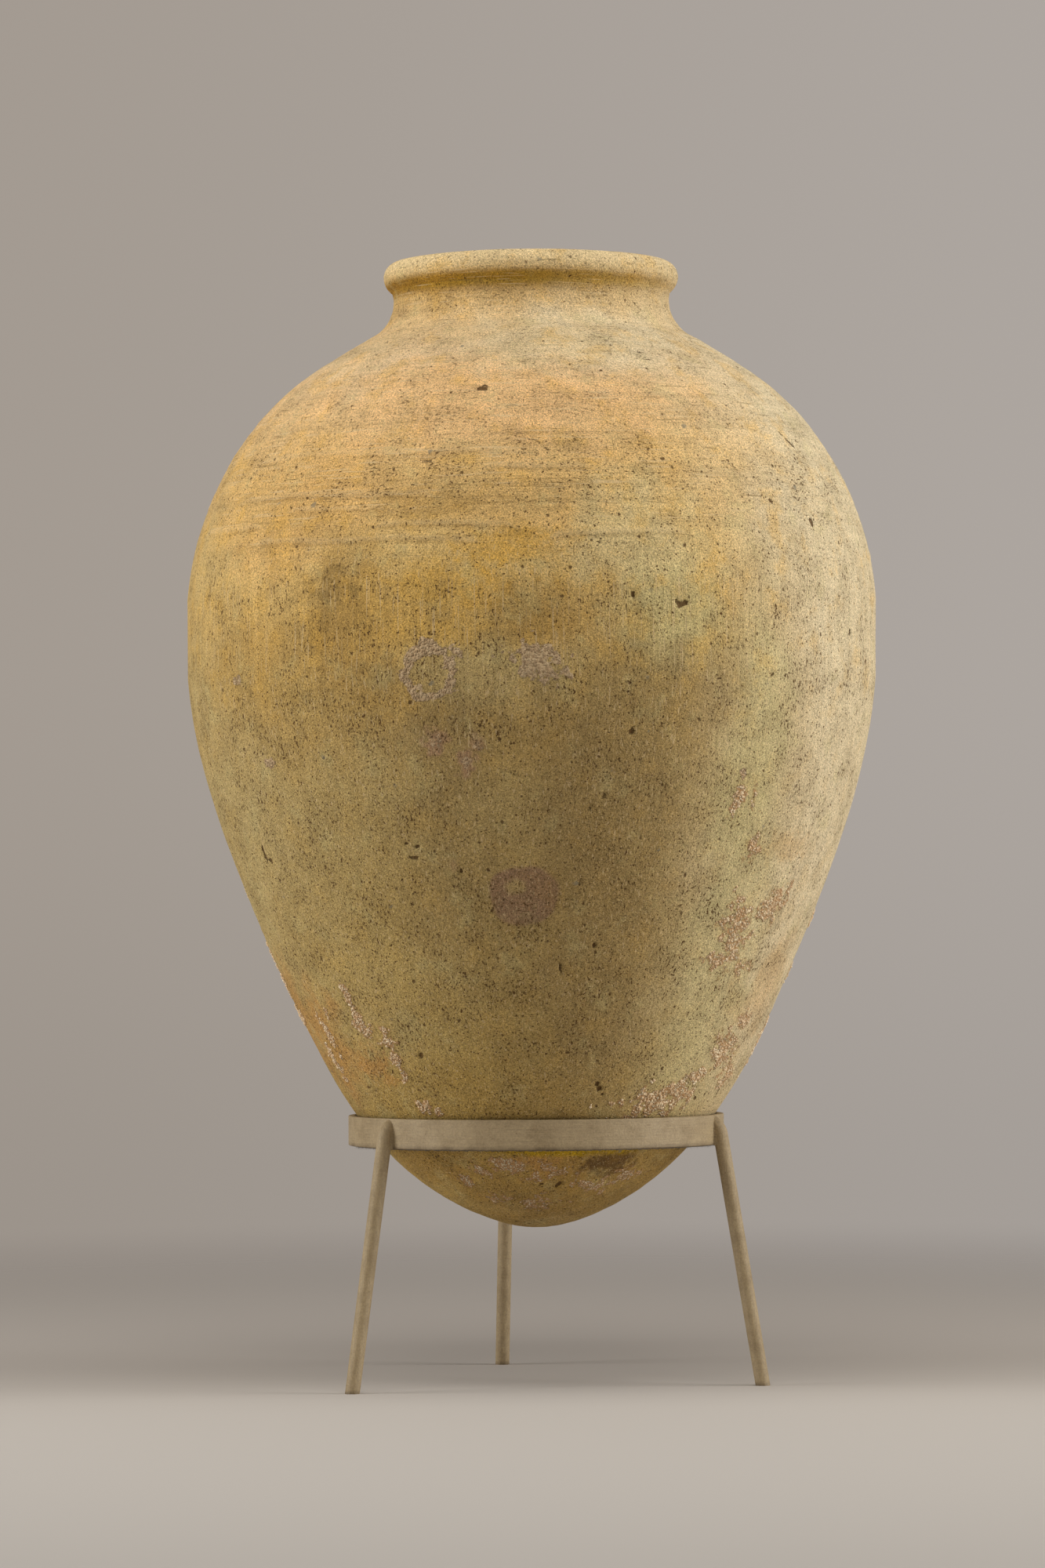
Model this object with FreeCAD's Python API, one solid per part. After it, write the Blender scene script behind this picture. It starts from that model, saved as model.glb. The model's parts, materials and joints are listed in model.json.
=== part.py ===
# Clay storage jar with a rounded base, standing in a welded steel tripod hoop.
# Frame: +Z up, origin on the floor under the jar's axis, millimetres.
import FreeCAD, Part
import math
import os

from FreeCAD import Vector

# Jar: the outline as thrown, measured on the outside
BELLY_R = 252.2  # radius at the widest place
BELLY_RISE = 421.5  # from the rounded tip up to the belly
SHOULDER_RISE = 253.0  # from the belly up to the waist of the neck
NECK_R = 100.2  # radius of that waist
NECK_HOLLOW_R = 32.4  # roundness by which the neck flares into the shoulder
NECK_HOLLOW_TURN = 62.0  # degrees
WALL = 11.0  # thickness of the wall
BASE_WALL = 22.0  # thickness of the clay at the tip
NECK_WALL = 14.2  # thickness of the clay at the neck's waist

# Rim: a coil rolled outwards over the neck
RIM_OVERHANG = 7.0  # how far the coil stands out of the neck's waist
RIM_CROWN_R = 10.2  # roundness of the coil from its widest place up to the crest
RIM_RISE = 16.5  # from the waist of the neck up to the widest place
GROOVE_RISE = 5.2  # from the waist up to the groove under the coil
GROOVE_FLARE = 0.9  # how far the neck has opened out again at the groove

# Lutes: the sloping laps where one clay section was joined to the next
LUTE_DROP = 5.0  # how far a lap falls from the middle of the wall to each side
LUTE_REACH = 18.0  # level distance over which it falls
SHOULDER_LUTE_SHARE = 0.265  # of the shoulder's rise, above the belly
BASE_LUTE_SHARE = 0.175  # of the belly's rise, above the tip

# Outline between tip and belly: radius share, height share
LOWER_SHARES = (
    (0.203, 0.033),
    (0.347, 0.088),
    (0.508, 0.189),
    (0.668, 0.358),
    (0.817, 0.561),
    (0.937, 0.763),
)
# Outline between belly and neck: share of the drop in radius, height share
UPPER_SHARES = (
    (0.049, 0.281),
    (0.195, 0.507),
    (0.496, 0.732),
    (0.765, 0.845),
)
NECK_POINTS = 2  # the last points of the outline, beside which the wall thickens

# Hoop of flat steel bar, sized to the jar
SEAT_HEIGHT = 82.7  # from the jar's tip up to the place where the hoop holds it
HOOP_THICK = 5.0
HOOP_HEIGHT = 21.5
HOOP_EDGE_R = 0.8  # rounded edges of the bar
HOOP_UNDERSIDE = 172.0  # height above the floor
SEAM_GAP = 2.0  # gap between the bar's two ends, filled with weld
SEAM_CROWN = 0.5  # how far that weld stands out of the bar
SEAM_TURN = 14.0  # degrees from the back leg to the seam

# Felt strip between hoop and jar
FELT_THICK = 2.5
FELT_PINCH = 0.9  # what the jar leaves of that thickness at the top edge
FELT_OVERHANG = 1.0  # how far the strip hangs out below the hoop
FELT_SPLIT = 1.5  # gap where the strip's ends meet
SEAT_RISE = 0.6  # the jar stands this far above the hollow pressed in the felt

# Legs of round steel rod
ROD_D = 10.5
FOOT_SPREAD = 33.8  # how far outside the hoop the feet stand
LEG_AZIMUTHS = {"right": -18.5, "back": 99.0, "left": 219.5}  # degrees from +X
LEG_BITE = 0.5  # how deep the rod is ground to lie on the hoop's lower edge
LEG_PROUD = 1.2  # how far the ground top of the rod stands above the hoop
LEG_BEND_INSIDE_R = 6.5  # hollow side of the rod's bend over the hoop
LEG_BEND_DROP = 14.0  # where that bend starts, below the top of the hoop
LEG_BEND_TURN = 80.0  # degrees
WELD_SIDE = 4.0  # side of the fillet weld between rod and hoop
WELD_INSET = 1.5  # the weld starts this far above the hoop's underside
WELD_DROP = 6.0  # and ends this far below its top, where the rod bends away

OVERRUN = 20.0  # cutting tools reach this far past what they cut
FULL_TURN = 360.0
HALVINGS = 60  # steps of a search along a curve
UP = Vector(0, 0, 1)

throat_r = NECK_R - NECK_WALL
rim_r = NECK_R + RIM_OVERHANG
groove_r = NECK_R + GROOVE_FLARE
hoop_top = HOOP_UNDERSIDE + HOOP_HEIGHT
waist_height = BELLY_RISE + SHOULDER_RISE
rod_r = ROD_D / 2
bend_r = LEG_BEND_INSIDE_R + rod_r
seam_azimuth = LEG_AZIMUTHS["back"] + SEAM_TURN


def place(radius, height):
    """A point of a section that is turned about the jar's axis."""
    return Vector(radius, 0, height)


def turned(face):
    """A section turned all the way round the axis."""
    return face.revolve(Vector(0, 0, 0), UP, FULL_TURN)


def save(shape, node):
    """Check a sub-part and write its file."""
    if not shape.isValid() or shape.Volume <= 0:
        raise ValueError(node + " is not a valid solid")
    shape.exportStep("parts/" + node + ".step")
    print(node, len(shape.Solids), "solid(s)", round(shape.Volume / 1000, 1), "cm3")


def arc(centre, radius, start_turn, end_turn):
    """Arc about a centre, with turns in degrees from the outward direction."""
    middle_turn = (start_turn + end_turn) / 2
    ends = [
        centre + place(radius * math.cos(math.radians(t)), radius * math.sin(math.radians(t)))
        for t in (start_turn, middle_turn, end_turn)
    ]
    return Part.Arc(*ends)


# Outline of the jar, measured from its tip
def outline_points():
    """Points on the outside of the jar, from the tip up to the neck's hollow."""
    drop = BELLY_R - NECK_R
    points = [place(0, 0)]
    points += [place(r * BELLY_R, h * BELLY_RISE) for r, h in LOWER_SHARES]
    points.append(place(BELLY_R, BELLY_RISE))
    points += [
        place(BELLY_R - r * drop, BELLY_RISE + h * SHOULDER_RISE) for r, h in UPPER_SHARES
    ]
    points.append(neck_hollow(NECK_HOLLOW_R).StartPoint)
    return points


def neck_hollow(radius):
    """The round hollow of the neck, upright at its waist, outside or inside the clay."""
    centre = place(NECK_R + NECK_HOLLOW_R, waist_height)
    return arc(centre, radius, 180 + NECK_HOLLOW_TURN, 180)


def smooth_curve(points):
    """A smooth curve through points, with its mirror image so that it is level on the axis."""
    mirrored = [place(-point.x, point.z) for point in points[:0:-1]]
    curve = Part.BSplineCurve()
    curve.interpolate(Points=mirrored + points)
    curve.segment(curve.parameter(points[0]), curve.LastParameter)
    return curve


def wall_at(radius):
    """The wall's thickness, which grows towards the tip."""
    return WALL + (BASE_WALL - WALL) * (1 - radius / BELLY_R) ** 3


def inside_curve(outside):
    """The inside: the outside's points moved in by the wall, which thickens to the neck."""
    points = []
    for point in outline_points()[:-NECK_POINTS]:
        along = outside.tangent(outside.parameter(point))[0].normalize()
        inwards = Vector(-along.z, 0, along.x)
        points.append(point + inwards * wall_at(point.x))
    points.append(neck_hollow(NECK_HOLLOW_R + NECK_WALL).StartPoint)
    return smooth_curve(points)


def point_where(curve, passed):
    """The point going up a curve at which a test is first passed, found by halving."""
    low, high = curve.FirstParameter, curve.LastParameter
    for _ in range(HALVINGS):
        middle = (low + high) / 2
        if passed(curve.value(middle)):
            high = middle
        else:
            low = middle
    return curve.value(high)


def rim_widest():
    """Height of the rim's widest place above the tip."""
    return waist_height + RIM_RISE


def crown_foot():
    """Height at which the throat's roundness ends, above the tip."""
    return rim_widest() + RIM_CROWN_R - (rim_r - RIM_CROWN_R - throat_r)


def under_roundness():
    """Radius of the coil's underside, upright at the widest place and met by the groove."""
    drop = RIM_RISE - GROOVE_RISE
    inset = rim_r - groove_r
    return (inset**2 + drop**2) / (inset + inset)


# Rim, drawn as the arcs that a hand leaves on a rolled coil
def rim_edges():
    """From the neck's waist over the rim down to the throat."""
    waist = place(NECK_R, waist_height)
    groove = place(groove_r, waist_height + GROOVE_RISE)
    under_r = under_roundness()
    under_centre = place(rim_r - under_r, rim_widest())
    crown_centre = place(rim_r - RIM_CROWN_R, rim_widest())
    throat_round = crown_centre.x - throat_r
    throat_centre = place(crown_centre.x, crown_foot())
    fall = math.degrees(math.atan2(groove.z - under_centre.z, groove.x - under_centre.x))
    return [
        Part.LineSegment(waist, groove),
        arc(under_centre, under_r, fall, 0),
        arc(crown_centre, RIM_CROWN_R, 0, 90),
        arc(throat_centre, throat_round, 90, 180),
        Part.LineSegment(place(throat_r, crown_foot()), place(throat_r, waist_height)),
    ]


def wall_section(outside, inside):
    """The jar's whole wall as a flat section on one side of the axis."""
    tip_line = Part.LineSegment(inside.StartPoint, outside.StartPoint)
    neck = [neck_hollow(NECK_HOLLOW_R), neck_hollow(NECK_HOLLOW_R + NECK_WALL)]
    curves = [outside, inside, tip_line] + neck + rim_edges()
    edges = [curve.toShape() for curve in curves]
    return Part.Face(Part.Wire(Part.__sortEdges__(edges)))


# Lutes
def lute_line(place_outside):
    """Points along a joint, from the axis out past the jar, sloping through the wall."""
    middle_r = place_outside.x - WALL / 2
    low = place_outside.z - LUTE_DROP
    high = place_outside.z + LUTE_DROP
    return [
        place(0, low),
        place(middle_r - LUTE_REACH, low),
        place(middle_r + LUTE_REACH, high),
        place(BELLY_R + OVERRUN, high),
    ]


def lute_places(outside):
    """Where the four joints meet the outside of the jar, from the base up."""
    base_height = BASE_LUTE_SHARE * BELLY_RISE
    shoulder_height = BELLY_RISE + SHOULDER_LUTE_SHARE * SHOULDER_RISE
    return [
        point_where(outside, lambda p: p.z > base_height),
        point_where(outside, lambda p: p.z > shoulder_height),
        neck_hollow(NECK_HOLLOW_R).StartPoint,
        place(NECK_R, waist_height),
    ]


def level_line(height):
    """A level line from the axis out past the jar."""
    return [place(0, height), place(BELLY_R + OVERRUN, height)]


def clay_sections():
    """The jar's wall, cut at its lutes into the sections that it was built from."""
    outside = smooth_curve(outline_points())
    wall = wall_section(outside, inside_curve(outside))
    lines = [level_line(-OVERRUN)]
    lines += [lute_line(point) for point in lute_places(outside)]
    lines.append(level_line(rim_widest() + RIM_CROWN_R + OVERRUN))
    sections = []
    for below, above in zip(lines, lines[1:]):
        border = below + above[::-1]
        band = Part.Face(Part.makePolygon(border + border[:1]))
        sections.append(turned(wall.common(band).Faces[0]))
    return sections


def jar_outside_solid():
    """The jar up to its belly as if it were solid, to press its form in the felt."""
    outside = smooth_curve(outline_points())
    belly = outside.parameter(place(BELLY_R, BELLY_RISE))
    edge = outside.toShape(outside.FirstParameter, belly)
    lid = Part.LineSegment(place(BELLY_R, BELLY_RISE), place(0, BELLY_RISE)).toShape()
    axis = Part.LineSegment(place(0, BELLY_RISE), place(0, 0)).toShape()
    return turned(Part.Face(Part.Wire([edge, lid, axis])))


# Stand: its sizes follow from the jar that it holds
seat_r = point_where(smooth_curve(outline_points()), lambda p: p.z > SEAT_HEIGHT).x
hoop_bore = seat_r + FELT_PINCH
hoop_r = hoop_bore + HOOP_THICK
foot_r = hoop_r + FOOT_SPREAD
pressed_tip = hoop_top - SEAT_HEIGHT


def ring(outer_r, inner_r, underside, height):
    """A plain ring about the axis."""
    outer = Part.makeCylinder(outer_r, height, Vector(0, 0, underside))
    return outer.cut(Part.makeCylinder(inner_r, height, Vector(0, 0, underside)))


def slot_at(azimuth, width, inner_r, outer_r, underside, height):
    """A radial block that opens a ring at one azimuth."""
    block = Part.makeBox(outer_r - inner_r, width, height, Vector(inner_r, -width / 2, underside))
    block.rotate(Vector(0, 0, 0), UP, azimuth)
    return block


def seam_block():
    """The gap between the ends of the hoop's bar."""
    inner_r = hoop_bore - OVERRUN
    outer_r = hoop_r + OVERRUN
    return slot_at(seam_azimuth, SEAM_GAP, inner_r, outer_r, HOOP_UNDERSIDE, HOOP_HEIGHT)


def hoop():
    """Flat bar bent into a hoop, with its edges rounded and its ends a gap apart."""
    bar = ring(hoop_r, hoop_bore, HOOP_UNDERSIDE, HOOP_HEIGHT)
    rims = [e for e in bar.Edges if isinstance(e.Curve, Part.Circle)]
    return bar.makeFillet(HOOP_EDGE_R, rims).cut(seam_block())


def hoop_seam_weld():
    """The weld that closes the hoop, standing a little out of the bar."""
    crown = ring(hoop_r + SEAM_CROWN, hoop_bore, HOOP_UNDERSIDE, HOOP_HEIGHT)
    return seam_block().common(crown)


def felt_lining():
    """Felt strip glued inside the hoop, with the jar's form pressed in its top edge."""
    underside = HOOP_UNDERSIDE - FELT_OVERHANG
    height = hoop_top - underside
    strip = ring(hoop_bore, hoop_bore - FELT_THICK, underside, height)
    split = slot_at(seam_azimuth, FELT_SPLIT, hoop_bore - OVERRUN, hoop_r, underside, height)
    jar = jar_outside_solid()
    jar.translate(Vector(0, 0, pressed_tip))
    return strip.cut(split).cut(jar)


# Legs
def leg_path():
    """Centre line of a leg standing at azimuth zero: a straight rod, bent in at the top."""
    foot = place(foot_r, 0)
    touch = place(hoop_r + rod_r - LEG_BITE, HOOP_UNDERSIDE)
    along = (touch - foot).normalize()
    inwards = Vector(-along.z, 0, along.x)
    start = foot - along * OVERRUN
    bend_start = foot + along * ((hoop_top - LEG_BEND_DROP) / along.z)
    centre = bend_start + inwards * bend_r

    def on_bend(turn):
        angle = math.radians(turn)
        return centre - inwards * (bend_r * math.cos(angle)) + along * (
            bend_r * math.sin(angle)
        )

    straight = Part.LineSegment(start, bend_start).toShape()
    bend = Part.Arc(bend_start, on_bend(LEG_BEND_TURN / 2), on_bend(LEG_BEND_TURN)).toShape()
    return start, along, Part.Wire([straight, bend])


def bent_rod():
    """The rod along that path, before it is cut to the floor and the hoop."""
    start, along, path = leg_path()
    section = Part.Wire(Part.Circle(start, along, rod_r).toShape())
    return path.makePipeShell([section], True, False)


def hoop_core():
    """What lies inside the hoop's outer face, from floor level to well above it."""
    return Part.makeCylinder(hoop_r, hoop_top + OVERRUN)


def leg():
    """Leg at azimuth zero: cut flat at the floor, ground to the hoop and level on top."""
    reach = foot_r + ROD_D + OVERRUN
    room = Part.makeCylinder(reach, hoop_top + LEG_PROUD)
    return bent_rod().common(room).cut(hoop_core())


def leg_welds():
    """Two fillet welds, one on each side of a rod at azimuth zero, on the hoop's face."""
    low = HOOP_UNDERSIDE + WELD_INSET
    height = HOOP_HEIGHT - WELD_INSET - WELD_DROP
    wide = rod_r + WELD_SIDE
    corners = [
        Vector(hoop_bore, -wide, low),
        Vector(hoop_r, -wide, low),
        Vector(hoop_r + WELD_SIDE, -rod_r, low),
        Vector(hoop_r + WELD_SIDE, rod_r, low),
        Vector(hoop_r, wide, low),
        Vector(hoop_bore, wide, low),
    ]
    block = Part.Face(Part.makePolygon(corners + corners[:1])).extrude(UP * height)
    return block.cut(hoop_core()).cut(bent_rod())


def at_azimuth(shape, azimuth):
    """A copy of a shape turned about the axis."""
    copy = shape.copy()
    copy.rotate(Vector(0, 0, 0), UP, azimuth)
    return copy


def main():
    os.makedirs("parts", exist_ok=True)
    tip = pressed_tip + SEAT_RISE
    names = ("base_bowl", "lower_body", "upper_body", "neck_collar", "rim_coil")
    for name, section in zip(names, clay_sections()):
        section.translate(Vector(0, 0, tip))
        save(section, name)
    save(hoop(), "hoop")
    save(hoop_seam_weld(), "hoop_seam_weld")
    save(felt_lining(), "felt_lining")
    rod = leg()
    welds = leg_welds()
    for side, azimuth in LEG_AZIMUTHS.items():
        save(at_azimuth(rod, azimuth), "leg_" + side)
        save(at_azimuth(welds, azimuth), "weld_" + side)
    print("tip of the jar", round(tip, 2), "mm above the floor")
    print("top of the rim", round(tip + rim_widest() + RIM_CROWN_R, 2), "mm")


main()
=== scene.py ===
# %% [markdown]
# # A round-based clay storage jar in a steel tripod hoop
# The jar is one fired pot that was built up in clay sections: a base bowl, a lower
# body, an upper body, a neck collar and a rolled rim. It can't stand by itself, so it
# rests in a painted steel hoop on three rods, with a strip of felt between.
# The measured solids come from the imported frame. This script dresses them: it skins the
# clay with hand-made unevenness and a fired surface, paints the steel and frays the felt.

# %% Load the measured frame
import bpy
import json
import math
import numpy as np
from mathutils import Matrix, Vector
from mathutils.bvhtree import BVHTree


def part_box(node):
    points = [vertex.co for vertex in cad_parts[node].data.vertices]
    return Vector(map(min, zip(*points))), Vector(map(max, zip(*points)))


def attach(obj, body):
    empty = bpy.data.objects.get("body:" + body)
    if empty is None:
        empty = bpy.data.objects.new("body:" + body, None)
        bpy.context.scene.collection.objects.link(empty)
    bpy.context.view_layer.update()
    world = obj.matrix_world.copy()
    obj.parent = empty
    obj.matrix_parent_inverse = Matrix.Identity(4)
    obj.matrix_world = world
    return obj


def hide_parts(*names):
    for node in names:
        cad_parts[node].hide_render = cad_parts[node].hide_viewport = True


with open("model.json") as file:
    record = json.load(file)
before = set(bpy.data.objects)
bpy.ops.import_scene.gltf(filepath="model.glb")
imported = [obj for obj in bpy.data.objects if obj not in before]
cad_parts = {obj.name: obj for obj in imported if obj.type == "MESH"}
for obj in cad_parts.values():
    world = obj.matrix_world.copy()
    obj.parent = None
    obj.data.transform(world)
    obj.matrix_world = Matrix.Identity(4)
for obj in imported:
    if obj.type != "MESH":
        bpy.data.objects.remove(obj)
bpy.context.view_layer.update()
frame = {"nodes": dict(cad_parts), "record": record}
MM = 0.001

# %% [markdown]
# ## Camera
# A long lens from the height of the jar's waist keeps the outline nearly free of
# perspective. The camera leans a little, as one on a tripod does, and its turn, pitch and
# lean are given apart, so each can be corrected alone.

# %% Camera
CAMERA_PLACE = (0, -4.275, 0.325)
CAMERA_TURN = 0.112  # degrees to the left
CAMERA_PITCH = 1.451  # degrees upwards
CAMERA_LEAN = -0.36  # degrees about its own axis


def link(name, data):
    """An object made from its data, in the scene."""
    made = bpy.data.objects.new(name, data)
    bpy.context.collection.objects.link(made)
    return made


def turn_about(axis, degrees):
    return Matrix.Rotation(math.radians(degrees), 4, axis)


def add_camera():
    data = bpy.data.cameras.new("portrait_camera")
    data.sensor_fit = "VERTICAL"
    data.sensor_height = 36
    data.sensor_width = 36
    data.lens = 135
    data.clip_end = 60
    camera = link("portrait_camera", data)
    aim = turn_about("Z", CAMERA_TURN) @ turn_about("X", 90 + CAMERA_PITCH)
    camera.matrix_world = Matrix.Translation(CAMERA_PLACE) @ aim @ turn_about("Z", CAMERA_LEAN)
    bpy.context.scene.camera = camera


add_camera()
print("camera at", CAMERA_PLACE)

# %% [markdown]
# ## Sums that become nodes
# Materials and Geometry Nodes trees are mostly arithmetic. Written node by node it is hard
# to read, so what comes out of a node is wrapped here, and a sum written with it adds the
# nodes that work it out. Every other node is one call, with what its sockets are fed with.


# %% Sums that become nodes
class Flow:
    """What comes out of a node."""

    def __init__(self, socket):
        self.socket, self.tree = socket, socket.id_data

    def beside(self, key):
        """Another output of the same node."""
        return Flow(self.socket.node.outputs[key])

    def part(self, axis):
        """One of a vector's three numbers."""
        return add_node(self.tree, "ShaderNodeSeparateXYZ", {0: self}, axis)

    def reckon(self, operation, *others):
        """One step of arithmetic: on vectors, where a vector or three numbers take part."""
        vectors = self.socket.type == "VECTOR" or any(isinstance(n, tuple) for n in others)
        kind = "ShaderNodeVectorMath" if vectors else "ShaderNodeMath"
        return add_node(self.tree, kind, dict(enumerate((self, *others))), operation=operation)

    def times(self, factor):
        """A vector or a colour times one number."""
        feeds = {0: self, "Scale": factor}
        return add_node(self.tree, "ShaderNodeVectorMath", feeds, operation="SCALE")

    def scaled(self, factor, plus=0.0):
        """A number times a factor, plus something."""
        return self.reckon("MULTIPLY_ADD", factor, plus)

    def __add__(self, other):
        return self.reckon("ADD", other)

    def __sub__(self, other):
        return self.reckon("SUBTRACT", other)

    def __rsub__(self, number):
        return add_node(self.tree, "ShaderNodeMath", {0: number, 1: self}, operation="SUBTRACT")

    def __mul__(self, other):
        return self.reckon("MULTIPLY", other)


def add_node(tree, kind, feeds=None, output=0, **settings):
    """A node, its sockets fed with values or flows; one of its outputs is given back."""
    node = tree.nodes.new(kind)
    for name, value in settings.items():
        setattr(node, name, value)
    for key, value in (feeds or {}).items():
        target = node.inputs[key]
        if isinstance(value, Flow):
            tree.links.new(value.socket, target)
        else:
            target.default_value = (*value, 1) if target.type == "RGBA" else value
    return Flow(node.outputs[output]) if node.outputs else None


# %% [markdown]
# ## Patterns and colours
# A few patterns come back in every finish: clouds, soft steps, round spots and noise drawn
# out one way. Sizes are in millimetres, because a potter's marks are easiest to think of
# that way, and colours are given as a paint card shows them.


# %% Patterns
def noise(place, size, detail=2.0, roughness=0.5, output="Fac"):
    """Cloudy variation from 0 to 1 whose lumps are about this size."""
    feeds = {"Vector": place, "Scale": 1 / size, "Detail": detail, "Roughness": roughness}
    return add_node(place.tree, "ShaderNodeTexNoise", feeds, output)


def drawn_noise(place, sizes, detail, roughness):
    """Noise with its own size along each way."""
    return noise(place * tuple(1 / size for size in sizes), 1.0, detail, roughness)


def ramp(value, start, end, low=0.0, high=1.0):
    """A smooth step of a number from one level to another."""
    feeds = {"Value": value, "From Min": start, "From Max": end, "To Min": low, "To Max": high}
    return add_node(value.tree, "ShaderNodeMapRange", feeds, interpolation_type="SMOOTHSTEP")


def contrast(value, spread):
    """Noise whose middle levels are spread over the whole range from 0 to 1."""
    return ramp(value, 0.5 - spread, 0.5 + spread)


def cells(place, size):
    """Cells of about this size: distance from the middle, and two numbers of each cell's own."""
    feeds = {"Vector": place, "Scale": 1 / size}
    distance = add_node(
        place.tree, "ShaderNodeTexVoronoi", feeds, "Distance", voronoi_dimensions="3D"
    )
    pick = add_node(place.tree, "ShaderNodeSeparateColor", {0: distance.beside("Color")})
    return distance, pick, pick.beside(1)


def spots(place, cell, low, high, share):
    """Small spots, 1 at their middle, in this share of the cells."""
    distance, pick, own_size = cells(place, cell)
    inside = distance.reckon("DIVIDE", own_size.scaled(high - low, low))
    return ramp(inside, 1.0, 0.35) * pick.reckon("LESS_THAN", share)


def uneven_place(place, wave, push):
    """The place pushed about by slow noise, so that round spots become ragged."""
    pushes = noise(place, wave, output="Color") - (0.5, 0.5, 0.5)
    return place + pushes * (push, push, push)


# %% Colours
def linear(red, green, blue):
    """A colour as a paint card shows it, 0 to 255, turned into light values."""
    levels = []
    for card in (red, green, blue):
        level = card / 255
        levels.append(level / 12.92 if level <= 0.04045 else ((level + 0.055) / 1.055) ** 2.4)
    return tuple(levels)


def mixed(share, first, second):
    """Two colours mixed; each is a flow or a colour."""
    feeds = {"Factor": share, 6: first, 7: second}
    return add_node(share.tree, "ShaderNodeMix", feeds, 2, data_type="RGBA")


def shaded(colour, value, swing):
    """The colour made lighter and darker by a number from 0 to 1."""
    return colour.times(value.scaled(2 * swing, 1 - swing))


# %% Start and end of a finish
def new_finish(name, preview):
    """A material with an empty tree, and the place on the object in millimetres."""
    material = bpy.data.materials.new(name)
    material.use_nodes = True
    material.diffuse_color = (*preview, 1)
    material.node_tree.nodes.clear()
    place = add_node(material.node_tree, "ShaderNodeTexCoord", output="Object")
    return material, place * (1000, 1000, 1000)


def close_finish(material, colour, rough, shine, height, deep, sheen=0.0):
    """The end of a material: a shader fed with its colour, dullness, shine and relief."""
    tree = material.node_tree
    feeds = {
        "Base Color": colour,
        "Roughness": rough,
        "Specular IOR Level": shine,
        "Sheen Weight": sheen,
        "Normal": add_node(tree, "ShaderNodeBump", {"Height": height, "Distance": deep}),
    }
    shader = add_node(tree, "ShaderNodeBsdfPrincipled", feeds)
    add_node(tree, "ShaderNodeOutputMaterial", {"Surface": shader})
    return material


# %% [markdown]
# ## Floor
# The object stands on a pale floor. Its colour is a painted pool of light, bright in front
# and dimmer further off, and it fades into the backdrop behind, as a paper sweep does. A plane
# that turns transparent with distance does this from every side, which a bent sheet would not.

# %% Floor
FLOOR_BRIGHT = linear(191, 184, 176)
FLOOR_FAR = linear(177, 168, 159)
POOL_CENTRE = (0, -950, 0)  # in mm, as are the distances from it
POOL_EDGE = (650, 1350)
FLOOR_EDGE = (1600, 3400)
SIDE_FADE = 1.75  # how much sooner the floor fades at the sides, under the soft boxes
FLOOR_HALF = 4.0  # half a side of the floor, in metres


def floor_material():
    material, place = new_finish("pale_floor", FLOOR_BRIGHT)
    offset = place - POOL_CENTRE
    length = offset.reckon("LENGTH").beside("Value")
    # painted pool of light: the floor is painted brighter near the pool's centre
    colour = mixed(ramp(length, *POOL_EDGE), FLOOR_BRIGHT, FLOOR_FAR)
    wide = (offset * (SIDE_FADE, 1, 1)).reckon("LENGTH").beside("Value")
    tree = material.node_tree
    paper = add_node(tree, "ShaderNodeBsdfPrincipled", {"Base Color": colour, "Roughness": 0.9})
    clear = add_node(tree, "ShaderNodeBsdfTransparent")
    feeds = {0: ramp(wide, *FLOOR_EDGE), 1: paper, 2: clear}
    faded = add_node(tree, "ShaderNodeMixShader", feeds)
    add_node(tree, "ShaderNodeOutputMaterial", {"Surface": faded})
    return material


def add_floor():
    mesh = bpy.data.meshes.new("floor")
    corners = [(x * FLOOR_HALF, y * FLOOR_HALF, 0) for x, y in ((-1, -1), (1, -1), (1, 1), (-1, 1))]
    mesh.from_pydata(corners, [], [(0, 1, 2, 3)])
    mesh.materials.append(floor_material())
    link("floor", mesh)


add_floor()

# %% [markdown]
# ## Light and backdrop
# Two tall soft boxes at the sides and a softer one above light the pot, so its flanks
# are bright and its middle is a little darker. The backdrop is the world's own colour, as
# the camera sees it; the light that the world gives is set apart from it.

# %% Soft boxes
SOFT_BOXES = {
    # name: (place, width, height, power)
    "left_soft_box": ((-2.2, -0.45, 0.8), 1.0, 1.9, 34),
    "right_soft_box": ((2.2, -0.4, 0.8), 1.0, 1.9, 40),
    "top_soft_box": ((0.0, -0.9, 2.4), 1.8, 1.4, 26),
}
LIGHT_AIM = Vector((0, 0, 0.45))


def add_soft_box(name, place, width, height, power):
    data = bpy.data.lights.new(name, "AREA")
    data.shape = "RECTANGLE"
    data.size, data.size_y = width, height
    data.energy = power
    data.color = (1.0, 0.985, 0.96)
    lamp = link(name, data)
    lamp.location = place
    aim = LIGHT_AIM - Vector(place)
    lamp.rotation_euler = aim.to_track_quat("-Z", "Y").to_euler()


for box_name, box in SOFT_BOXES.items():
    add_soft_box(box_name, *box)
print("lamps:", ", ".join(SOFT_BOXES))

# %% Backdrop
WORLD_FILL = 0.2  # light that comes from all round
BACKDROP_LEFT = linear(163, 154, 145)
BACKDROP_RIGHT = linear(173, 166, 160)
HORIZON_SHADE = 0.9  # how bright the backdrop is at floor level


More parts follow.
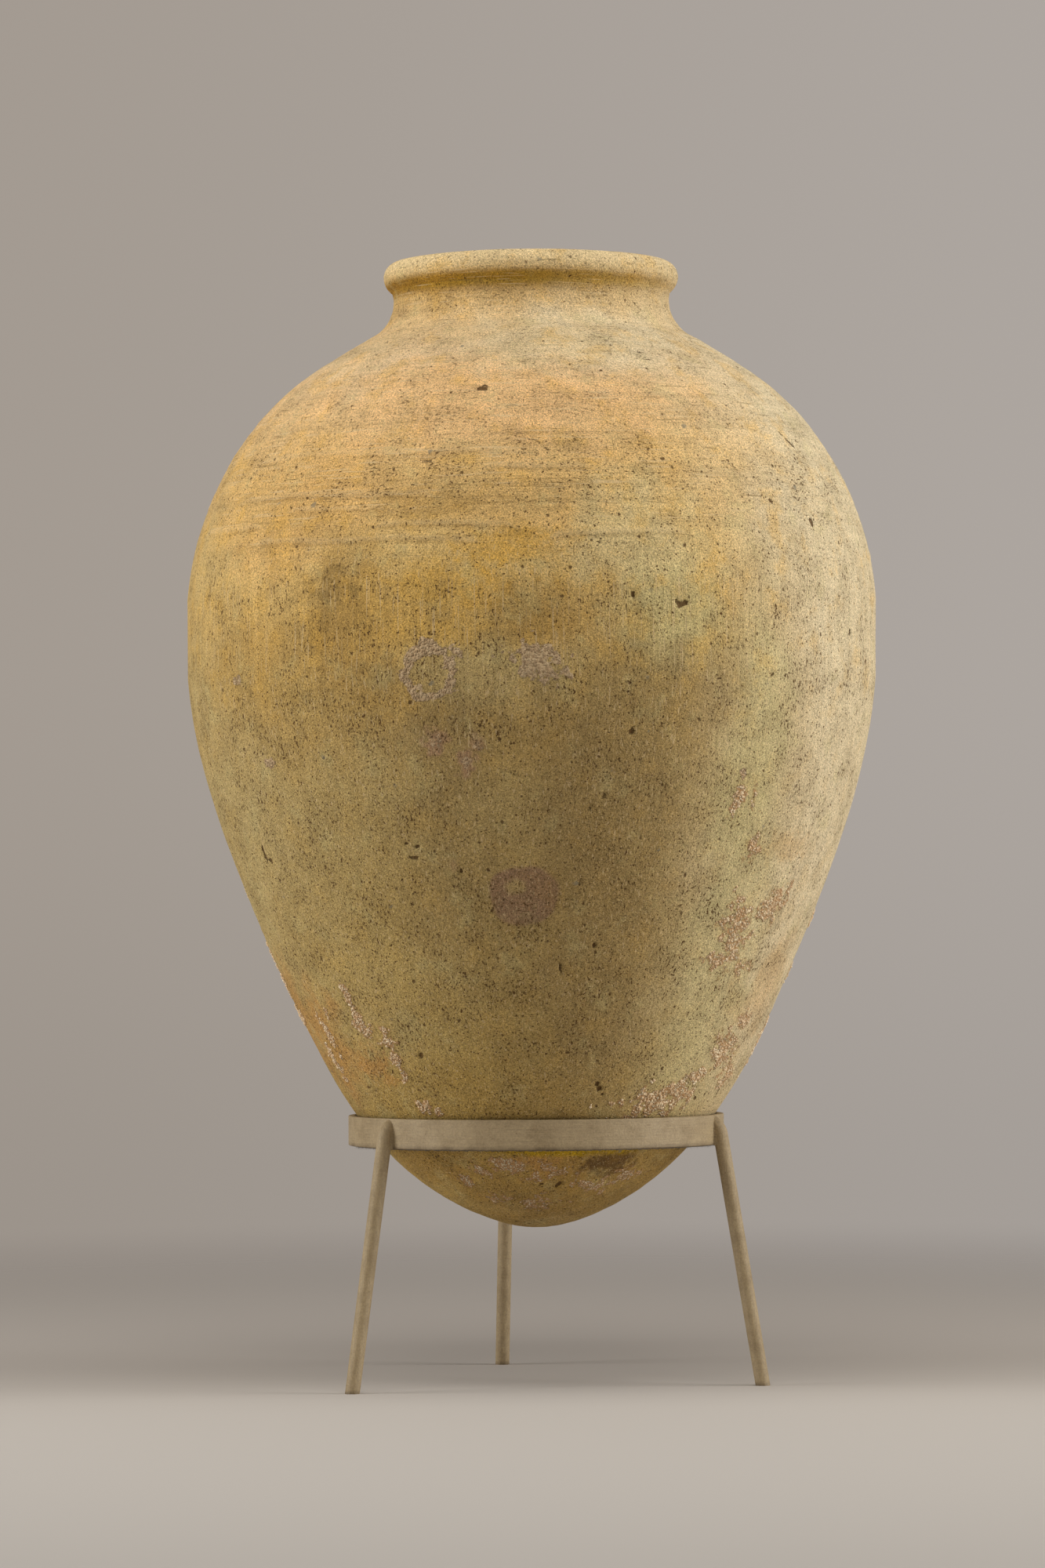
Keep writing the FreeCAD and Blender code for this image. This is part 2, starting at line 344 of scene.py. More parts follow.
def add_backdrop():
    world = bpy.data.worlds.new("studio")
    world.use_nodes = True
    tree = world.node_tree
    tree.nodes.clear()
    rays = add_node(tree, "ShaderNodeLightPath", output="Is Camera Ray")
    seen = rays.reckon("MAXIMUM", rays.beside("Is Glossy Ray"))
    seen = seen.reckon("MAXIMUM", rays.beside("Is Transmission Ray"))
    fill = add_node(tree, "ShaderNodeBackground", {0: (1, 0.99, 0.97), 1: WORLD_FILL})
    way = add_node(tree, "ShaderNodeTexCoord", output="Generated")
    paper = mixed(ramp(way.part(0), -0.12, 0.12), BACKDROP_LEFT, BACKDROP_RIGHT)
    level = ramp(way.part(2), -0.06, 0.05, HORIZON_SHADE, 1.0)
    backdrop = add_node(tree, "ShaderNodeBackground", {0: paper, 1: level})
    both = add_node(tree, "ShaderNodeMixShader", {0: seen, 1: fill, 2: backdrop})
    add_node(tree, "ShaderNodeOutputWorld", {"Surface": both})
    bpy.context.scene.world = world


add_backdrop()
bpy.context.scene.view_settings.view_transform = "Standard"
print("light from all round:", WORLD_FILL)

# %% [markdown]
# ## The wall's section, read from the frame
# The clay solids are turned about the jar's axis, so each has a seam in the plane
# y = 0. Those seams, joined end to end, are the section of the whole wall: from the tip
# up the outside, over the rim and down the inside. Edges that two solids share are their
# joints, and are left out of the path.

# %% Trace the section
CLAY = ["base_bowl", "lower_body", "upper_body", "neck_collar", "rim_coil"]
SAME = 2e-5  # points closer than this are the same


def read_back(items, key, wide, kind=float):
    """What a mesh holds for each of its points or edges, so many numbers each."""
    found = np.empty(len(items) * wide, dtype=kind)
    items.foreach_get(key, found)
    return found.reshape(-1, wide)


def seam_edges(node):
    """Edges of a clay solid that lie on its seam: an array of (radius, height) pairs."""
    mesh = frame["nodes"][node].data
    places = read_back(mesh.vertices, "co", 3)
    ends = read_back(mesh.edges, "vertices", 2, np.int64)
    on_seam = (np.abs(places[:, 1]) < SAME) & (places[:, 0] > -SAME)
    pairs = places[:, [0, 2]][ends[on_seam[ends].all(axis=1)]]
    return pairs[np.linalg.norm(pairs[:, 1] - pairs[:, 0], axis=1) > SAME]


def distance_to_edges(point, pairs):
    """How far a point of the section is from the nearest of some edges."""
    along = pairs[:, 1] - pairs[:, 0]
    share = ((point - pairs[:, 0]) * along).sum(axis=1) / (along**2).sum(axis=1)
    nearest = pairs[:, 0] + along * np.clip(share, 0, 1)[:, None]
    return np.linalg.norm(nearest - point, axis=1).min()


def trace_section():
    """The wall's section as ordered (radius, height) points, each with its clay section."""
    edges = {node: seam_edges(node) for node in CLAY}
    near, spots = {}, {}
    for node in CLAY:
        others = np.concatenate([edges[other] for other in CLAY if other != node])
        for pair in edges[node]:
            if distance_to_edges(pair.mean(axis=0), others) < SAME:
                continue
            first, second = (tuple(np.round(end / SAME).astype(int)) for end in pair)
            spots[first], spots[second] = pair
            near.setdefault(first, {})[second] = node
            near.setdefault(second, {})[first] = node
    start = min((key for key in near if key[0] == 0), key=lambda key: key[1])
    path, names = [start], []
    while path[-1][0] or len(path) < 2:
        here, seen = path[-1], path[-2:]
        ahead = next(key for key in near[here] if key not in seen)
        names.append(near[here][ahead])
        path.append(ahead)
    return np.array([spots[key] for key in path]), names


section, section_names = trace_section()
print("section:", len(section), "points, crest", round(section[:, 1].max() / MM, 1), "mm")

# %% [markdown]
# ## Even rows on the section
# A net of small, nearly square faces takes hand-made unevenness best. The traced points
# are uneven, close together in tight bends and far apart elsewhere, so a smooth curve is
# laid through them and walked in even steps. Sharp corners are kept: the curve starts
# afresh at each one.

# %% A smooth curve through the section
CORNER_TURN = math.radians(16)  # a sharper turn than this is a corner
FINE_STEPS = 24  # places worked out between two traced points


def curve_directions(points, gaps):
    """Direction of a smooth curve at each of its points."""
    slopes = np.diff(points, axis=0) / gaps[:, None]
    if len(slopes) == 1:
        return np.vstack([slopes, slopes])
    before, after = gaps[:-1, None], gaps[1:, None]
    middle = (slopes[:-1] * after + slopes[1:] * before) / (before + after)
    return np.vstack([2 * slopes[0] - middle[0], middle, 2 * slopes[-1] - middle[-1]])


def curve_between(start, end, leave, arrive, gap):
    """Places on a smooth curve from one point up to the next."""
    t = np.arange(FINE_STEPS)[:, None] / FINE_STEPS
    return (
        (2 * t**3 - 3 * t**2 + 1) * start
        + (t**3 - 2 * t**2 + t) * gap * leave
        + (3 * t**2 - 2 * t**3) * end
        + (t**3 - t**2) * gap * arrive
    )


def smooth_section(points):
    """A list with the fine places on each stretch between two traced points."""
    chords = np.diff(points, axis=0)
    heading = np.unwrap(np.arctan2(chords[:, 1], chords[:, 0]))
    corners = 1 + np.flatnonzero(np.abs(np.diff(heading)) > CORNER_TURN)
    stops = [0, *corners, len(points) - 1]
    stretches = []
    for first, last in zip(stops, stops[1:]):
        run = points[first : last + 1]
        gaps = np.linalg.norm(np.diff(run, axis=0), axis=1)
        heads = curve_directions(run, gaps)
        for i, gap in enumerate(gaps):
            stretches.append(curve_between(run[i], run[i + 1], heads[i], heads[i + 1], gap))
    return stretches


# %% Walk it in even rows
SKIN_SPACING = {  # distance between the rows of each clay section, in millimetres
    "base_bowl": 2.0,
    "lower_body": 1.6,
    "upper_body": 1.6,
    "neck_collar": 1.4,
    "rim_coil": 1.15,
}
LINING_SPACING = 8.0  # the same inside the jar


def even_rows(stretches, end, spacing):
    """The same path in even steps, both of its ends included."""
    fine = np.vstack([*stretches, end])
    travel = np.concatenate([[0], np.cumsum(np.linalg.norm(np.diff(fine, axis=0), axis=1))])
    steps = max(2, round(travel[-1] / spacing))
    even = np.linspace(0, travel[-1], steps + 1)
    return np.column_stack([np.interp(even, travel, fine[:, k]) for k in (0, 1)])


def section_rows():
    """Rows of the outside and of the lining, and which clay section each row starts."""
    stretches = smooth_section(section)
    crest = section_names.index("rim_coil")
    groups, start = [], 0
    for i in range(1, len(section_names) + 1):
        if i == len(section_names) or section_names[i] != section_names[start]:
            name = section_names[start]
            spacing = SKIN_SPACING[name] if start <= crest else LINING_SPACING
            groups.append((name, even_rows(stretches[start:i], section[i], spacing * MM)))
            start = i
    return groups


row_groups = section_rows()
for name, rows in row_groups:
    print(f"{name}: {len(rows)} rows")

# %% [markdown]
# ## The skin before it is worked
# The outside is one net all round the jar, over the rim and down to the bottom of its
# throat. The lining is a second, coarser net. Each point of the nets remembers which way
# is out, how far it may be pushed outwards before it would leave the measured size, and
# how strongly the maker's tools marked it there. Geometry Nodes read these to work the clay.

# %% Nets of the outside and of the lining
COLUMNS = 960
LINING_COLUMNS = 120


def join_rows(groups):
    """One net from neighbouring groups of rows; a row that two groups share is kept once."""
    rows = [groups[0][1][:1]]
    spans, count = {}, 1
    for name, part in groups:
        rows.append(part[1:])
        spans[name] = (count - 1, count - 2 + len(part))
        count += len(part) - 1
    return np.vstack(rows), spans


def azimuths(columns):
    return np.linspace(-math.pi, math.pi, columns, endpoint=False)


def turned(pairs, columns):
    """Pairs of (across, up) turned about the jar's axis; the front has azimuth 0."""
    azimuth = azimuths(columns)
    across, up = pairs[:, :1], pairs[:, 1:]
    sides = (across * np.sin(azimuth), -across * np.cos(azimuth), up * np.ones(columns))
    return np.stack(sides, axis=-1)


def outward(rows):
    """The way out of the wall at each row, as (across, up)."""
    heads = np.gradient(rows, axis=0)
    heads /= np.linalg.norm(heads, axis=1)[:, None]
    if rows[0, 0] < SAME:
        heads[0] = (1, 0)
    return np.column_stack([heads[:, 1], -heads[:, 0]])


outside_rows, outside_spans = join_rows(row_groups[: len(CLAY)])
outside_net = turned(outside_rows, COLUMNS)
lining_rows, lining_spans = join_rows(row_groups[len(CLAY) :])
lining_net = turned(lining_rows, LINING_COLUMNS)
height_mm = outside_net[..., 2] / MM
azimuth_deg = np.degrees(np.broadcast_to(azimuths(COLUMNS), height_mm.shape))
radius_mm = np.broadcast_to(outside_rows[:, :1] / MM, height_mm.shape)
crest_row = int(outside_rows[:, 1].argmax())
print("outside net:", outside_net.shape[:2], "crest at row", crest_row)
print("lining net:", lining_net.shape[:2], "sections at rows", outside_spans, lining_spans)

# %% [markdown]
# ## Uneven edges
# Stains, crusts and scraped patches never have a clean edge. A few layers of waves that
# run through space in all directions give a cheap, repeatable unevenness that has no seam
# round the jar: slow, middling and quick. Each patch is an ellipse on the wall whose edge
# these waves push in and out.

# %% Waves through the clay
WAVE_COUNT = 22  # waves added up for each kind


def waves(size_mm, seed):
    """Smooth unevenness of about this size over the outside net, from about -2 to 2."""
    dice = np.random.default_rng(seed)
    places = outside_net / MM
    total = np.zeros_like(height_mm)
    for _ in range(WAVE_COUNT):
        way = dice.normal(size=3)
        way *= math.tau / size_mm * dice.uniform(0.6, 1.5) / np.linalg.norm(way)
        total += np.cos(places @ way + dice.uniform(0, math.tau))
    return total / math.sqrt(WAVE_COUNT / 2)


slow_waves = waves(110, seed=3)
middling_waves = waves(38, seed=5)
quick_waves = waves(13, seed=8)
sharp_waves = waves(6, seed=13)
print("waves reach", round(float(np.abs(slow_waves).max()), 2))

# %% Patches on the wall
BIG_PATCH = 40  # a patch wider than this, in mm, has a middling edge
HUGE_PATCH = 160  # and one wider than this a slow one


def smooth_step(value, start, end):
    """0 below start, 1 above end and smooth between."""
    share = np.clip((value - start) / (end - start), 0, 1)
    return share * share * (3 - 2 * share)


def bell(off, width):
    """1 where off is 0, and gone a few widths away."""
    return np.exp(-((off / width) ** 2))


def turned_away(azimuths_deg, azimuth):
    """How far places lie to the side of an azimuth, in degrees."""
    return (azimuths_deg - azimuth + 180) % 360 - 180


def ellipse_reach(across, up, width, tall, lean):
    """1 on the edge of a leaning ellipse, and less inside."""
    cos, sin = math.cos(math.radians(lean)), math.sin(math.radians(lean))
    return np.hypot((across * cos + up * sin) / width * 2, (up * cos - across * sin) / tall * 2)


def patch(azimuth, height, width, tall, ragged, soft, lean=0.0):
    """How much each place belongs to an uneven patch; sizes in mm, turns in degrees."""
    across = np.radians(turned_away(azimuth_deg, azimuth)) * radius_mm
    reach = ellipse_reach(across, height_mm - height, width, tall, lean)
    edge = quick_waves * 0.6 + sharp_waves * 0.5
    if min(width, tall) > BIG_PATCH:
        edge = middling_waves * 0.7 + quick_waves * 0.2
    if min(width, tall) > HUGE_PATCH:
        edge = slow_waves * 0.7 + middling_waves * 0.3
    return 1 - smooth_step(reach + edge * ragged * 0.5, 1 - soft, 1 + soft)


# %% [markdown]
# ## Colours of the clay
# A marl clay fires from cream through ochre to olive, because the fire reached each side
# differently, and long storage stained it. The colours are laid on in the order in which
# they came about: the tone of the firing by height first, then broad clouds, then stains.
# The dark band under the rim is partly the clay's own tone and partly painted shade. They
# are stored on the mesh as colours, so they follow the pot and nothing else.

# %% Palette
CREAM = linear(212, 186, 138)
PALE_TAN = linear(208, 182, 138)
GREY_CREAM = linear(204, 186, 150)
PEACH = linear(221, 179, 124)
YELLOW_OCHRE = linear(195, 156, 80)
BROWN_OCHRE = linear(162, 127, 65)
STRAW = linear(206, 184, 132)
OLIVE = linear(170, 147, 96)
PALE_OLIVE = linear(178, 157, 107)
STAINED_OLIVE = linear(148, 124, 78)
ORANGE_BROWN = linear(178, 134, 74)
MAUVE = linear(142, 113, 84)
MAUVE_PINK = linear(158, 126, 92)
PALE_CRUST = linear(234, 204, 166)
# dark specks and stains, and also the painted shade in pits, chips, dent floors and grooves
PIT_BROWN = linear(88, 62, 32)
SMUDGE = linear(120, 98, 56)
PALE_GREEN = linear(184, 171, 120)
BASE_OLIVE = linear(156, 126, 66)
SULPHUR = linear(176, 142, 14)
RING_CREAM = linear(218, 190, 150)
GRAIN_GAP = linear(160, 112, 56)
GRAIN_CREAM = linear(250, 234, 200)
GRAIN_RUST = linear(192, 144, 84)
FLECK_GREY = linear(122, 116, 98)
APRICOT = linear(212, 164, 100)
FLUSH = linear(206, 158, 62)
LINING_TONE = linear(168, 134, 84)  # inside, where the fire reached less

FIRED_TONES = [  # height in mm, then red, green and blue of the paint card
    (110, 170, 142, 84),
    (150, 172, 143, 80),
    (185, 162, 133, 70),
    (230, 168, 142, 84),
    (300, 174, 149, 92),
    (340, 168, 143, 88),
    (420, 171, 147, 94),
    (470, 172, 143, 86),
    (505, 178, 148, 88),
    (545, 190, 156, 92),
    (585, 200, 168, 106),
    (622, 203, 166, 104),
    (660, 206, 169, 108),
    (700, 207, 172, 121),
    (735, 208, 179, 137),
    (765, 205, 173, 122),
    (782, 198, 163, 104),
    # 789 to 795 mm: the dark band under the rim's overhang, partly the clay's own tone and partly
    #                painted shade
    (789, 154, 116, 44),
    (795, 154, 116, 44),
    (800, 206, 178, 126),
    (806, 212, 186, 138),
    (815, 212, 186, 138),
]

# %% Clouds and stains
CLOUDS = [  # colour, strength, azimuth, height, width, height of the patch, raggedness, softness
    (GREY_CREAM, 1.0, 84, 505, 380, 620, 0.14, 0.42),
    (GREY_CREAM, 0.6, 74, 280, 120, 160, 0.2, 0.6),
    (PALE_OLIVE, 0.5, -74, 400, 170, 330, 0.5, 0.6),
    (PEACH, 0.9, -6, 696, 230, 64, 0.6, 0.6),
    (GREY_CREAM, 0.8, 18, 742, 150, 46, 0.6, 0.6),
    (CREAM, 0.55, 4, 741, 110, 34, 0.6, 0.6),
    (CREAM, 0.35, -55, 741, 70, 34, 0.6, 0.6),
    (GREY_CREAM, 0.5, 47, 622, 50, 60, 0.6, 0.6),
    (BROWN_OCHRE, 0.28, -44, 612, 110, 70, 0.5, 0.6),
    (FLECK_GREY, 0.15, 46, 622, 50, 50, 0.5, 0.6),
    (FLECK_GREY, 0.12, -80, 625, 70, 90, 0.5, 0.6),
    # painted shade under the rim's overhang, deepening the band laid in by height
    (SULPHUR, 0.4, 4, 791.5, 200, 9, 0.2, 0.6),
    (STRAW, 0.8, 18, 594, 90, 76, 0.5, 0.5),
    (PALE_GREEN, 0.75, 22, 544, 84, 64, 0.5, 0.6),
    (PALE_GREEN, 0.6, 40, 450, 60, 190, 0.25, 0.6),
    (PALE_GREEN, 0.5, 44, 285, 90, 200, 0.25, 0.6),
    (BROWN_OCHRE, 0.45, -18, 621, 80, 20, 0.5, 0.5),
    (APRICOT, 0.3, -38, 640, 110, 60, 0.4, 0.6),
    (APRICOT, 0.3, -48, 592, 90, 40, 0.4, 0.6),
    (FLUSH, 0.55, -4, 590, 60, 24, 0.8, 0.7),
    (FLUSH, 0.5, -13, 563, 70, 30, 0.8, 0.7),
    (BROWN_OCHRE, 0.7, -31, 546, 70, 80, 0.5, 0.6),
    (BROWN_OCHRE, 0.5, -24, 500, 90, 40, 0.6, 0.6),
    (YELLOW_OCHRE, 0.5, -22, 540, 70, 60, 0.6, 0.6),
    (SMUDGE, 0.35, -34, 567, 34, 20, 0.9, 0.4),
    (SMUDGE, 0.25, -36, 546, 48, 40, 0.9, 0.5),
    (SMUDGE, 0.25, -24, 503, 50, 24, 0.9, 0.5),
    (BROWN_OCHRE, 0.3, -54, 512, 90, 64, 0.6, 0.5),
    (SMUDGE, 0.2, 2, 622, 60, 12, 0.7, 0.5),
    (BROWN_OCHRE, 0.6, 1, 540, 60, 40, 0.6, 0.6),
    (PALE_OLIVE, 0.6, -6, 500, 130, 44, 0.6, 0.6),
    (STAINED_OLIVE, 0.75, -14, 458, 70, 52, 0.6, 0.6),
    (STAINED_OLIVE, 0.85, 13, 410, 104, 210, 0.3, 0.6),
    (STAINED_OLIVE, 0.75, 14, 285, 96, 210, 0.25, 0.7),
    (STAINED_OLIVE, 0.5, -14, 350, 80, 130, 0.3, 0.7),
    (STAINED_OLIVE, 0.5, 29, 492, 60, 60, 0.6, 0.6),
    (ORANGE_BROWN, 0.8, -78, 256, 100, 80, 0.7, 0.6),
    (ORANGE_BROWN, 0.45, -62, 236, 90, 22, 0.8, 0.6),
    (ORANGE_BROWN, 0.35, 66, 290, 60, 70, 0.8, 0.6),
    (ORANGE_BROWN, 0.3, 55, 385, 50, 18, 0.8, 0.7),
    (PALE_TAN, 0.5, 165, 620, 360, 240, 0.6, 0.7),
    (STAINED_OLIVE, 0.6, -170, 360, 300, 240, 0.8, 0.7),
    (PEACH, 0.5, -135, 690, 300, 120, 0.7, 0.7),
    (YELLOW_OCHRE, 0.4, -120, 560, 220, 90, 0.8, 0.6),
    (ORANGE_BROWN, 0.5, 132, 250, 140, 80, 0.9, 0.7),
    (MAUVE_PINK, 1.0, -16.2, 458, 16, 19, 0.6, 0.25),
    (MAUVE_PINK, 1.0, -11, 443, 14, 19, 0.6, 0.25),
    (MAUVE_PINK, 0.8, -9.5, 456, 10, 10, 0.6, 0.25),
    (MAUVE_PINK, 0.5, -15, 372, 6, 10, 0.5, 0.4),
    (MAUVE, 1.0, -2, 352, 48, 44, 0.12, 0.06),
    (OLIVE, 0.8, -3.6, 357, 13, 10, 0.3, 0.4),
    (BASE_OLIVE, 0.9, 48, 150, 220, 70, 0.4, 0.4),
    (BROWN_OCHRE, 0.7, 12, 160, 60, 20, 0.6, 0.6),
    (PIT_BROWN, 0.85, 31, 161, 40, 17, 0.9, 0.5),
    (BROWN_OCHRE, 0.5, -48, 160, 80, 30, 0.6, 0.7),
    (ORANGE_BROWN, 0.7, -2, 161, 34, 14, 0.7, 0.5),
    (ORANGE_BROWN, 0.8, -49, 230, 28, 16, 0.7, 0.5),
    (ORANGE_BROWN, 0.6, -45, 221, 16, 9, 0.7, 0.5),
    (ORANGE_BROWN, 0.5, -64, 262, 20, 30, 0.7, 0.5),
    (SULPHUR, 0.95, 9.6, 170.5, 106, 7, 0.25, 0.4),
]

# %% Lay the colours on
THROAT_FADE = (6, 30)  # rows past the crest over which the throat takes the lining's tone
UNEVEN_BELOW = (785, 740)  # heights in mm: the bands of the rim run level, those below don't


def blend_in(ground, colour, share):
    """The ground with this much of another colour laid over it."""
    return ground + (np.array(colour) - ground) * share[..., None]


def fired_ground():
    heights = [height for height, *_ in FIRED_TONES]
    tones = np.array([linear(*card) for _, *card in FIRED_TONES])
    uneven = height_mm + (slow_waves * 6 + middling_waves * 2) * smooth_step(height_mm, *UNEVEN_BELOW)
    ground = np.stack([np.interp(uneven, heights, tones[:, k]) for k in range(3)], axis=-1)
    for colour, strength, *ellipse in CLOUDS:
        ground = blend_in(ground, colour, strength * patch(*ellipse))
    past_crest = np.arange(len(outside_rows)) - crest_row
    throat = smooth_step(past_crest, *THROAT_FADE)[:, None]
    return blend_in(ground, LINING_TONE, np.broadcast_to(throat, height_mm.shape))


ground_colour = fired_ground()
print("clouds laid on:", len(CLOUDS))

# %% [markdown]
# ## Crusts
# Pale crust grew where salts came out of the clay and dried: in rings, in streaks and
# along the foot. It is only an amount here, from 0 to 1; the relief below and the clay's
# finish both read it, so that what looks crusted also stands out.

# %% Crusts
CRUSTS = [  # azimuth, height, width, height of the patch, strength, lean
    (0.8, 511, 36, 22, 1.0, -32),
    (-12.5, 517, 16, 8, 0.7, 0),
    (-16.2, 458, 9, 9, 0.9, 0),
    (-11, 443, 9, 9, 0.9, 0),
    (-9.5, 455, 7, 8, 0.5, 0),
    (-50, 446, 14, 9, 0.8, 0),
    (-56, 505, 10, 8, 0.6, 0),
    (38, 420, 9, 26, 0.9, 0),
    (41.5, 420, 5, 24, 0.5, 10),
    (44, 385, 11, 15, 0.8, 0),
    (46, 325, 28, 42, 0.75, 0),
    (55, 343, 26, 18, 0.85, 20),
    (43, 306, 26, 10, 0.8, 0),
    (52, 300, 20, 12, 0.5, 0),
    (60, 355, 8, 10, 0.7, 0),
    (37, 205, 46, 20, 1.0, 8),
    (45, 212, 30, 18, 0.9, 0),
    (58, 240, 28, 22, 0.9, 0),
    (50, 222, 18, 12, 0.8, 0),
    (62, 262, 16, 12, 0.7, 0),
    (66, 225, 22, 20, 0.7, 0),
    (-48.8, 281, 7, 15, 0.9, 10),
    (-47.6, 266, 12, 15, 1.0, 15),
    (-44.2, 257, 26, 9, 1.0, -14),
    (-40.7, 249, 12, 12, 1.0, -20),
    (-39.4, 238, 7, 19, 0.85, 0),
    (-38.6, 226, 8, 9, 0.85, 0),
    (-63.5, 253, 8, 28, 0.9, 20),
    (-60, 270, 7, 14, 0.7, 0),
    (-68, 236, 9, 26, 0.8, 20),
    (-34.6, 203, 15, 9, 0.9, 0),
    (-31.0, 200, 9, 9, 0.7, 0),
    (-24, 156, 16, 8, 0.7, -30),
    (-10, 159, 34, 10, 0.85, -20),
    (8, 157, 24, 8, 0.62, -10),
    (-34, 150, 14, 10, 0.65, 0),
    (29, 145, 28, 8, 0.7, -10),
    (44, 152, 26, 10, 0.68, 0),
    (2, 131, 30, 10, 0.6, 0),
    (-22, 135, 22, 9, 0.55, 0),
]

# %% Grow the crusts
RING_CRUST = (-16.7, 505, 17.2, 3.4)  # azimuth, height, radius and half width
BACK_CRUSTS = 34  # crusts on the unseen side, placed at random
BACK_SIDE = (88, 275)  # azimuths between which they lie
BACK_HEIGHTS = (205, 230, 540)  # lowest, most usual and highest, in mm


def ring_crust():
    azimuth, height, radius, half = RING_CRUST
    across = np.radians(turned_away(azimuth_deg, azimuth)) * radius_mm
    off = np.hypot(across, height_mm - height) + quick_waves * 1.3 + sharp_waves * 0.9 - radius
    return 1 - smooth_step(np.abs(off), half * 0.5, half * 1.5)


def crust_amount():
    crusts = list(CRUSTS)
    dice = np.random.default_rng(21)
    for _ in range(BACK_CRUSTS):
        azimuth, height = dice.uniform(*BACK_SIDE), dice.triangular(*BACK_HEIGHTS)
        width, tall = dice.uniform(10, 40, size=2)
        crusts.append((azimuth, height, width, tall, dice.uniform(0.5, 0.95), 0))
    amount = ring_crust() * 0.9
    for azimuth, height, width, tall, strength, lean in crusts:
        here = strength * patch(azimuth, height, width, tall, 0.9, 0.6, lean)
        amount = np.maximum(amount, here)
    return amount


crust = crust_amount()
print("share of the wall with any crust:", round(float((crust > 0).mean()), 3))

# %% [markdown]
# ## Dents
# Dents are where grit burst out in the fire, or where the pot was knocked. Those that
# catch the eye are listed one by one, and many small ones are thrown over the whole wall. A
# dent is only worked out on the part of the net round it, because there are so many.

# %% Dents
DENTS = [  # azimuth, height, width, height of the dent, depth in mm, lean
    (-10.2, 705, 8, 5, 1.6, 0),
    (-18.5, 652, 13, 6, 0.85, 0),
    (-29, 621, 10, 5, 0.9, 30),
    (-21.7, 385, 5.5, 4, 1.8, 0),
    (-23.8, 387, 5, 4, 1.6, 0),
    (-22.8, 377, 7, 4, 1.6, 0),
    (-61, 383, 4.5, 15, 1.6, 0),
    (-59.3, 377, 10, 4.5, 1.5, -20),
    (-13.8, 368, 3.5, 6, 1.2, 0),
    (24, 551, 9, 7, 1.7, 0),
    (16, 557, 4, 6, 1.2, 0),
    (44.6, 626, 7, 4, 1.4, 0),
    (10.5, 593, 5, 3, 1.1, 0),
    (16.1, 463, 4, 6, 1.3, 0),
    (12, 420, 3.5, 8, 1.1, 0),
    (12.4, 316, 4, 6, 1.3, 0),
    (5.5, 300, 3, 16, 1.0, 15),
    (18.3, 215, 6, 4, 1.7, 0),
    (17.2, 218, 4, 4, 1.3, 0),
    (19.2, 211, 5, 4, 1.4, 0),
    (58, 672, 22, 6, 1.1, -45),
    (54.5, 613, 7, 9, 1.5, 0),
    (64.6, 536, 6, 7, 1.4, 0),
    (63.3, 300, 7, 6, 1.4, 0),
    (36, 305, 5, 4, 1.2, 0),
    (-31, 239, 5, 5, 1.2, 0),
    (-5.5, 284, 4, 4, 1.1, 0),
    (2.1, 145.3, 5, 3, 1.2, 0),
    (10.7, 145.1, 5, 4, 1.4, 20),
    (23.7, 255, 4, 4, 1.2, 0),
    (-43, 244, 5, 3, 1.2, 0),
    (-23, 255, 7, 3.5, 1.1, 0),
    (-36.5, 620, 5, 4, 1.0, 45),
    (31, 500, 9, 3.5, 1.0, 0),
    (42, 504, 5, 4, 1.2, 20),
    (66, 462, 5, 4, 1.0, -30),
    (60.5, 562, 4, 4, 1.0, 0),
    (-58.5, 494, 4, 4, 1.0, 0),
]

# %% Press the dents
BURST_GRITS = 110  # small dents at random, all over
BURST_HEIGHTS = (205, 790)
THROWN_ABOVE = 600  # height in mm: above it dents are drawn out level, below it upright
DENT_ROWS, DENT_COLUMNS = 14, 16  # how far a dent may reach on the net, each way


def press_dent(depths, azimuth, height, width, tall, depth, lean):
    """Add one dent to the part of the net round it."""
    row = int(np.abs(height_mm[:crest_row, 0] - height).argmin())
    rows = slice(max(row - DENT_ROWS, 0), row + DENT_ROWS + 1)
    column = int((azimuth + 180) % 360 / 360 * COLUMNS)
    columns = np.arange(column - DENT_COLUMNS, column + DENT_COLUMNS + 1) % COLUMNS
    across = np.radians(turned_away(azimuth_deg[rows][:, columns], azimuth))
    across = across * radius_mm[rows][:, columns]
    reach = ellipse_reach(across, height_mm[rows][:, columns] - height, width, tall, lean)
    reach += sharp_waves[rows][:, columns] * 0.22
    here = depths[rows]
    here[:, columns] = np.maximum(here[:, columns], depth * (1 - smooth_step(reach, 0.35, 1.15)))


def dent_depths():
    depths = np.zeros_like(height_mm)
    for dent in DENTS:
        press_dent(depths, *dent)
    dice = np.random.default_rng(34)
    for _ in range(BURST_GRITS):
        height = dice.uniform(*BURST_HEIGHTS)
        width, tall = dice.uniform(2.6, 4.6), dice.uniform(2.6, 4.6)
        wide = 1.35 if height > THROWN_ABOVE else 0.8
        azimuth, depth = dice.uniform(-180, 180), dice.uniform(0.35, 1.0)
        press_dent(depths, azimuth, height, width * wide, tall / wide, depth, 0)
    return depths


dent = dent_depths()
print("deepest dent in mm:", round(float(dent.max()), 2))

# %% [markdown]
# ## Level grooves
# A few long grooves run round the shoulder where a turning tool or a finger dragged. They
# are thinner than the net's faces, so each place remembers how far above the nearest
# groove it lies, and the clay's finish draws from that a thin line of painted shade in the
# groove and a painted highlight on the lip above it.

